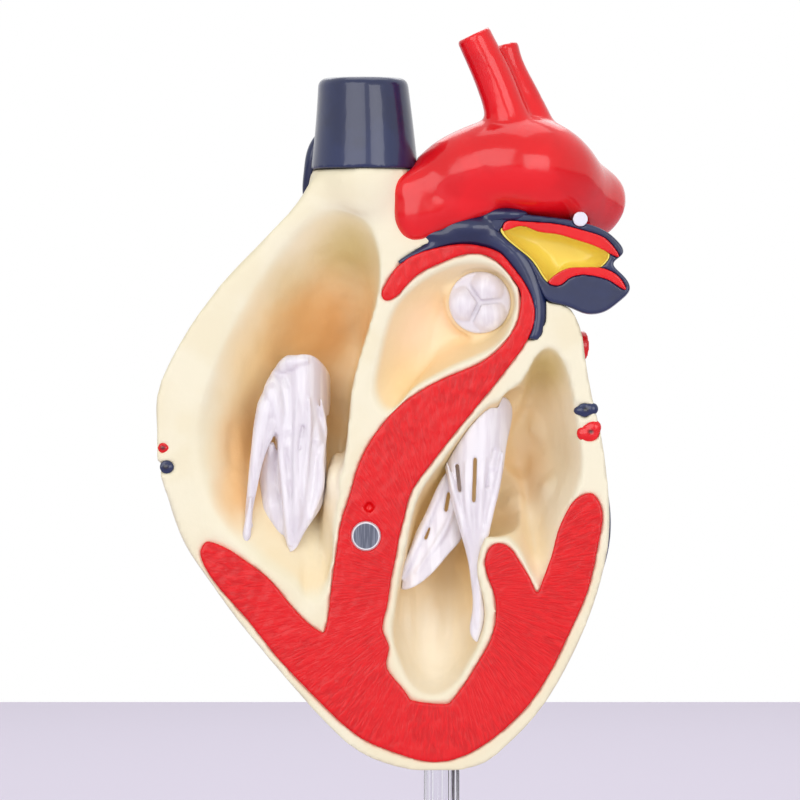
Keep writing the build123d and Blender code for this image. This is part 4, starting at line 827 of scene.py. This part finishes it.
def uneven(piece, scale, height, front=None):
    """Soft unevenness by hand; with front, only behind that depth, so that the cut face stays flat."""
    texture = bpy.data.textures.new("uneven", "CLOUDS")
    texture.noise_scale = scale
    values = {}
    if front is not None:
        group = piece.vertex_groups.new(name="behind")
        ranks = {}
        for vertex in piece.data.vertices:
            share = (vertex.co.y - front) / UNEVEN_ONSET
            rank = min(UNEVEN_RANKS, max(0, round(share * UNEVEN_RANKS)))
            ranks.setdefault(rank, []).append(vertex.index)
        for rank, members in ranks.items():
            group.add(members, rank / UNEVEN_RANKS, "REPLACE")
        values["vertex_group"] = "behind"
    apply_modifier(
        piece, "DISPLACE", texture=texture, texture_coords="LOCAL", strength=height, mid_level=0.5, **values
    )
    piece.vertex_groups.clear()
    bpy.data.textures.remove(texture)


def place_piece(piece, nodes, material):
    """Gives a piece its finish and its body, and hides the nodes that it stands for."""
    nodes = (nodes,) if isinstance(nodes, str) else nodes
    piece.data.materials.clear()
    piece.data.materials.append(material)
    body = next(b for b, members in frame["record"]["behaviour"]["bodies"].items() if nodes[0] in members)
    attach(piece, body)
    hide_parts(*nodes)


def cast_vessels(voxels, material):
    """Casts each vessel of a table with its own voxels, given in millimetres, and its ragged end."""
    for node, voxel in voxels.items():
        ends = mounds(END_MOUNDS.get(node, ()))
        place_piece(cast_copy(node, node + "_casting", voxel * MM, added=ends), node, material)


def paint_node(node, material):
    """A CAD node whose form is right keeps it, and gets its finish."""
    slots = frame["nodes"][node].data.materials
    slots.clear()
    slots.append(material)


class HeartStep(bpy.types.Operator):
    """One step of the build"""

    bl_options = {"REGISTER", "UNDO"}


class HEARTMODEL_OT_shell(HeartStep):
    """Cast and paint the cream shell"""

    bl_idname = "heartmodel.shell"
    bl_label = "Cast shell"

    def execute(self, context):
        paint = context.scene.heart_shell
        ledge = mounds(LEDGE_MOUNDS, LEDGE_SETBACK)
        piece = cast_copy("heart_shell", "shell_casting", paint.grain, smoothing=3, added=ledge)
        for spot in SHELL_SWELLS:
            swell(piece, *in_metres(spot))
        soften(piece, SHELL_SOFT)
        uneven(piece, SHELL_WAVE, paint.relief, CUT_FACE_Y + UNEVEN_START)
        place_piece(piece, "heart_shell", shell_finish(paint))
        return {"FINISHED"}


class HEARTMODEL_OT_muscle(HeartStep):
    """Paint the cut muscle and the magnet in it"""

    bl_idname = "heartmodel.muscle"
    bl_label = "Cut muscle and magnet"

    def execute(self, context):
        paint = context.scene.heart_muscle
        piece = cast_copy("muscle_section", "muscle_casting", MUSCLE_VOXEL, smoothing=2)
        uneven(piece, MUSCLE_WAVE, paint.fibre)
        place_piece(piece, "muscle_section", muscle_finish(paint))
        paint_node("septum_magnet", magnet_finish())
        return {"FINISHED"}


class HEARTMODEL_OT_vessels(HeartStep):
    """Cast and brush the arteries and veins"""

    bl_idname = "heartmodel.vessels"
    bl_label = "Arteries and veins"

    def execute(self, context):
        paint = context.scene.heart_vessels
        artery = gloss_finish("artery_paint", paint.artery, srgb(216, 8, 18), ARTERY_LUMEN_SHADE, coat=0.35)
        vein = gloss_finish("vein_paint", paint.vein, srgb(20, 28, 62), VEIN_LUMEN_SHADE, roughness=0.3, coat=0.6)
        cast_vessels(VEIN_VOXELS, vein)
        mound = mounds(TRUNK_MOUNDS)
        trunk = cast_copy("pulmonary_trunk", "trunk_casting", TRUNK_VOXEL, smoothing=6, added=mound)
        soften(trunk, TRUNK_SOFT)
        place_piece(trunk, "pulmonary_trunk", vein)
        cast_vessels(ARTERY_VOXELS, artery)
        rim = cast_copy("pulmonary_rim", "rim_casting", SMALL_VOXEL)
        place_piece(rim, "pulmonary_rim", artery)
        arch = merge_pieces([
            *(joined_copy(node, node + "_casting") for node in ARCH_NODES), *mounds(ROOT_MOUNDS),
        ])
        recast(arch, ARCH_VOXEL, smoothing=10, factor=0.6)
        soften(arch, ARCH_SOFT)
        uneven(arch, ARCH_WAVE, paint.waviness)
        place_piece(arch, ARCH_NODES, artery)
        return {"FINISHED"}


class HEARTMODEL_OT_lining(HeartStep):
    """Paint the yellow lining and the white ligament"""

    bl_idname = "heartmodel.lining"
    bl_label = "Lining and ligament"

    def execute(self, context):
        paint = context.scene.heart_vessels
        lining = gloss_finish("lining_paint", paint.lining, srgb(246, 224, 92), roughness=0.3, coat=0.3)
        ligament = gloss_finish("ligament_paint", paint.ligament, srgb(220, 218, 232), roughness=0.22)
        for node, name, material, slot in (
            ("pulmonary_lining", "lining_casting", lining, "lining_paint"),
            ("ligamentum_arteriosum", "ligament_casting", ligament, "ligament_paint"),
        ):
            place_piece(cast_copy(node, name, SMALL_VOXEL), node, material)
        return {"FINISHED"}


class HEARTMODEL_OT_valves(HeartStep):
    """Mould the valve leaflets and cusps"""

    bl_idname = "heartmodel.valves"
    bl_label = "Valves"

    def execute(self, context):
        paint = context.scene.heart_valves
        milk = valve_finish("valve_silicone", paint, shade_front=2.0, shade_back=9.0)
        for nodes, layers in LEAFLETS:
            leaflet = merge_pieces([joined_copy(node, node + "_casting") for node in nodes])
            laid = [laid_cord(leaflet, stations, setback) for cords, setback in layers for stations in cords]
            recast(merge_pieces([leaflet, *laid]), LEAFLET_VOXEL, smoothing=14)
            place_piece(leaflet, nodes, milk)
        bpy.ops.mesh.primitive_cylinder_add(
            vertices=48, radius=MEMBRANE_RADIUS * MM, depth=MEMBRANE_THICKNESS * MM,
            location=in_metres(MEMBRANE_CENTRE), rotation=(math.radians(90.0), 0.0, 0.0),
        )
        membrane = context.active_object
        bpy.ops.object.transform_apply(location=True, rotation=True, scale=True)
        cusps = cast_copy(
            "pulmonary_valve_cusps", "cusps_casting", LEAFLET_VOXEL, smoothing=5, added=[membrane]
        )
        # Painted shade greys the cusps' backs and the membrane between them
        cusp_milk = valve_finish("cusp_silicone", paint, shade_front=-6.3, shade_back=-5.4)
        place_piece(cusps, "pulmonary_valve_cusps", cusp_milk)
        return {"FINISHED"}


class HEARTMODEL_OT_stand(HeartStep):
    """Finish the clear rod, the base and its pad"""

    bl_idname = "heartmodel.stand"
    bl_label = "Rod and base"

    def execute(self, context):
        paint = context.scene.heart_stand
        acrylic = clear_finish(paint.clear)
        plastic = moulded_finish(
            "base_plastic", paint.white, srgb(230, 230, 232),
            roughness=0.25, grain_scale=600.0, grain_height=0.05 * MM,
        )
        foam = moulded_finish(
            "pad_foam", paint.pad, srgb(28, 28, 30), roughness=0.85, grain_scale=2500.0, grain_height=0.2 * MM
        )
        for node, name, material, slot in (
            ("support_rod", "clear_rod", acrylic, "rod_acrylic"),
            ("base", "moulded_base", plastic, "base_plastic"),
        ):
            piece = joined_copy(node, name)
            bpy.ops.object.shade_smooth_by_angle(angle=SHARP_ANGLE)
            place_piece(piece, node, material)
        paint_node("base_pad", foam)
        return {"FINISHED"}


class HEARTMODEL_OT_stage(HeartStep):
    """Set the floor, the lamps and the camera"""

    bl_idname = "heartmodel.stage"
    bl_label = "Floor, lamps and camera"

    def execute(self, context):
        stage = context.scene.heart_stage
        bpy.ops.object.select_all(action="DESELECT")
        bpy.ops.mesh.primitive_plane_add(size=1.0, location=(0.0, (FLOOR_FAR + FLOOR_NEAR) / 2, 0.0))
        floor = context.active_object
        floor.name = "floor"
        floor.scale = (FLOOR_WIDTH, FLOOR_FAR - FLOOR_NEAR, 1.0)
        bpy.ops.object.transform_apply(location=True, rotation=True, scale=True)
        material, _, shader, _ = finish("floor_cloth")
        shader.inputs["Base Color"].default_value = stage.floor
        shader.inputs["Roughness"].default_value = 0.6
        floor.data.materials.append(material)

        world = context.scene.world or bpy.data.worlds.new("Studio")
        context.scene.world = world
        world.use_nodes = True
        nodes, links = world.node_tree.nodes, world.node_tree.links
        nodes.clear()
        out = nodes.new("ShaderNodeOutputWorld")
        soft = nodes.new("ShaderNodeBackground")
        soft.inputs["Strength"].default_value = stage.sky
        plain = nodes.new("ShaderNodeBackground")
        path = nodes.new("ShaderNodeLightPath")
        seen, also = nodes.new("ShaderNodeMath"), nodes.new("ShaderNodeMath")
        seen.operation = also.operation = "MAXIMUM"
        mix = nodes.new("ShaderNodeMixShader")
        for node in (soft, plain):
            node.inputs["Color"].default_value = (1.0, 1.0, 1.0, 1.0)
        for start, end in (
            (path.outputs["Is Camera Ray"], seen.inputs[0]),
            (path.outputs["Is Transmission Ray"], seen.inputs[1]),
            (seen.outputs[0], also.inputs[0]),
            (path.outputs["Is Glossy Ray"], also.inputs[1]),
            (also.outputs[0], mix.inputs[0]),
            (soft.outputs[0], mix.inputs[1]),
            (plain.outputs[0], mix.inputs[2]),
            (mix.outputs[0], out.inputs["Surface"]),
        ):
            links.new(start, end)

        for name, size, place in LAMPS:
            bpy.ops.object.light_add(type="AREA", location=place)
            lamp = context.active_object
            lamp.name = name + "_lamp"
            lamp.data.energy = getattr(stage, name)
            lamp.data.size = size
            aim = Vector((VIEW_CENTRE_X, CUT_FACE_Y, VIEW_CENTRE_Z)) - Vector(place)
            if name == "table":
                aim = Vector((0.0, 0.0, -1.0))
            lamp.rotation_euler = aim.to_track_quat("-Z", "Y").to_euler()

        bpy.ops.object.camera_add(
            location=(VIEW_CENTRE_X, CUT_FACE_Y - CAMERA_DISTANCE, VIEW_CENTRE_Z),
            rotation=(math.radians(90.0), 0.0, 0.0),
        )
        camera = context.active_object
        camera.name = "front_camera"
        camera.data.sensor_width = SENSOR_WIDTH
        camera.data.lens = SENSOR_WIDTH * CAMERA_DISTANCE / VIEW_WIDTH
        camera.data.clip_end = CLIP_END
        context.scene.camera = camera
        context.scene.view_settings.view_transform = "Standard"
        return {"FINISHED"}


STEPS = (
    HEARTMODEL_OT_shell,
    HEARTMODEL_OT_muscle,
    HEARTMODEL_OT_vessels,
    HEARTMODEL_OT_lining,
    HEARTMODEL_OT_valves,
    HEARTMODEL_OT_stand,
    HEARTMODEL_OT_stage,
)
SETTINGS = (
    ("heart_shell", ShellSettings),
    ("heart_muscle", MuscleSettings),
    ("heart_vessels", VesselSettings),
    ("heart_valves", ValveSettings),
    ("heart_stand", StandSettings),
    ("heart_stage", StageSettings),
)


class HEARTMODEL_PT_panel(bpy.types.Panel):
    bl_idname = "HEARTMODEL_PT_panel"
    bl_label = "Heart model"
    bl_space_type = "VIEW_3D"
    bl_region_type = "UI"
    bl_category = "Heart model"

    def draw(self, context):
        for attribute, settings in SETTINGS:
            box = self.layout.box()
            group = getattr(context.scene, attribute)
            for key in settings.__annotations__:
                box.prop(group, key)
        for step in STEPS:
            self.layout.operator(step.bl_idname)


def register():
    for attribute, settings in SETTINGS:
        bpy.utils.register_class(settings)
        setattr(bpy.types.Scene, attribute, PointerProperty(type=settings))
    for step in STEPS:
        bpy.utils.register_class(step)
    bpy.utils.register_class(HEARTMODEL_PT_panel)


def unregister():
    bpy.utils.unregister_class(HEARTMODEL_PT_panel)
    for step in reversed(STEPS):
        bpy.utils.unregister_class(step)
    for attribute, settings in reversed(SETTINGS):
        delattr(bpy.types.Scene, attribute)
        bpy.utils.unregister_class(settings)


def main():
    register()
    for step in STEPS:
        section, action = step.bl_idname.split(".")
        getattr(getattr(bpy.ops, section), action)()


if __name__ == "__main__":
    main()
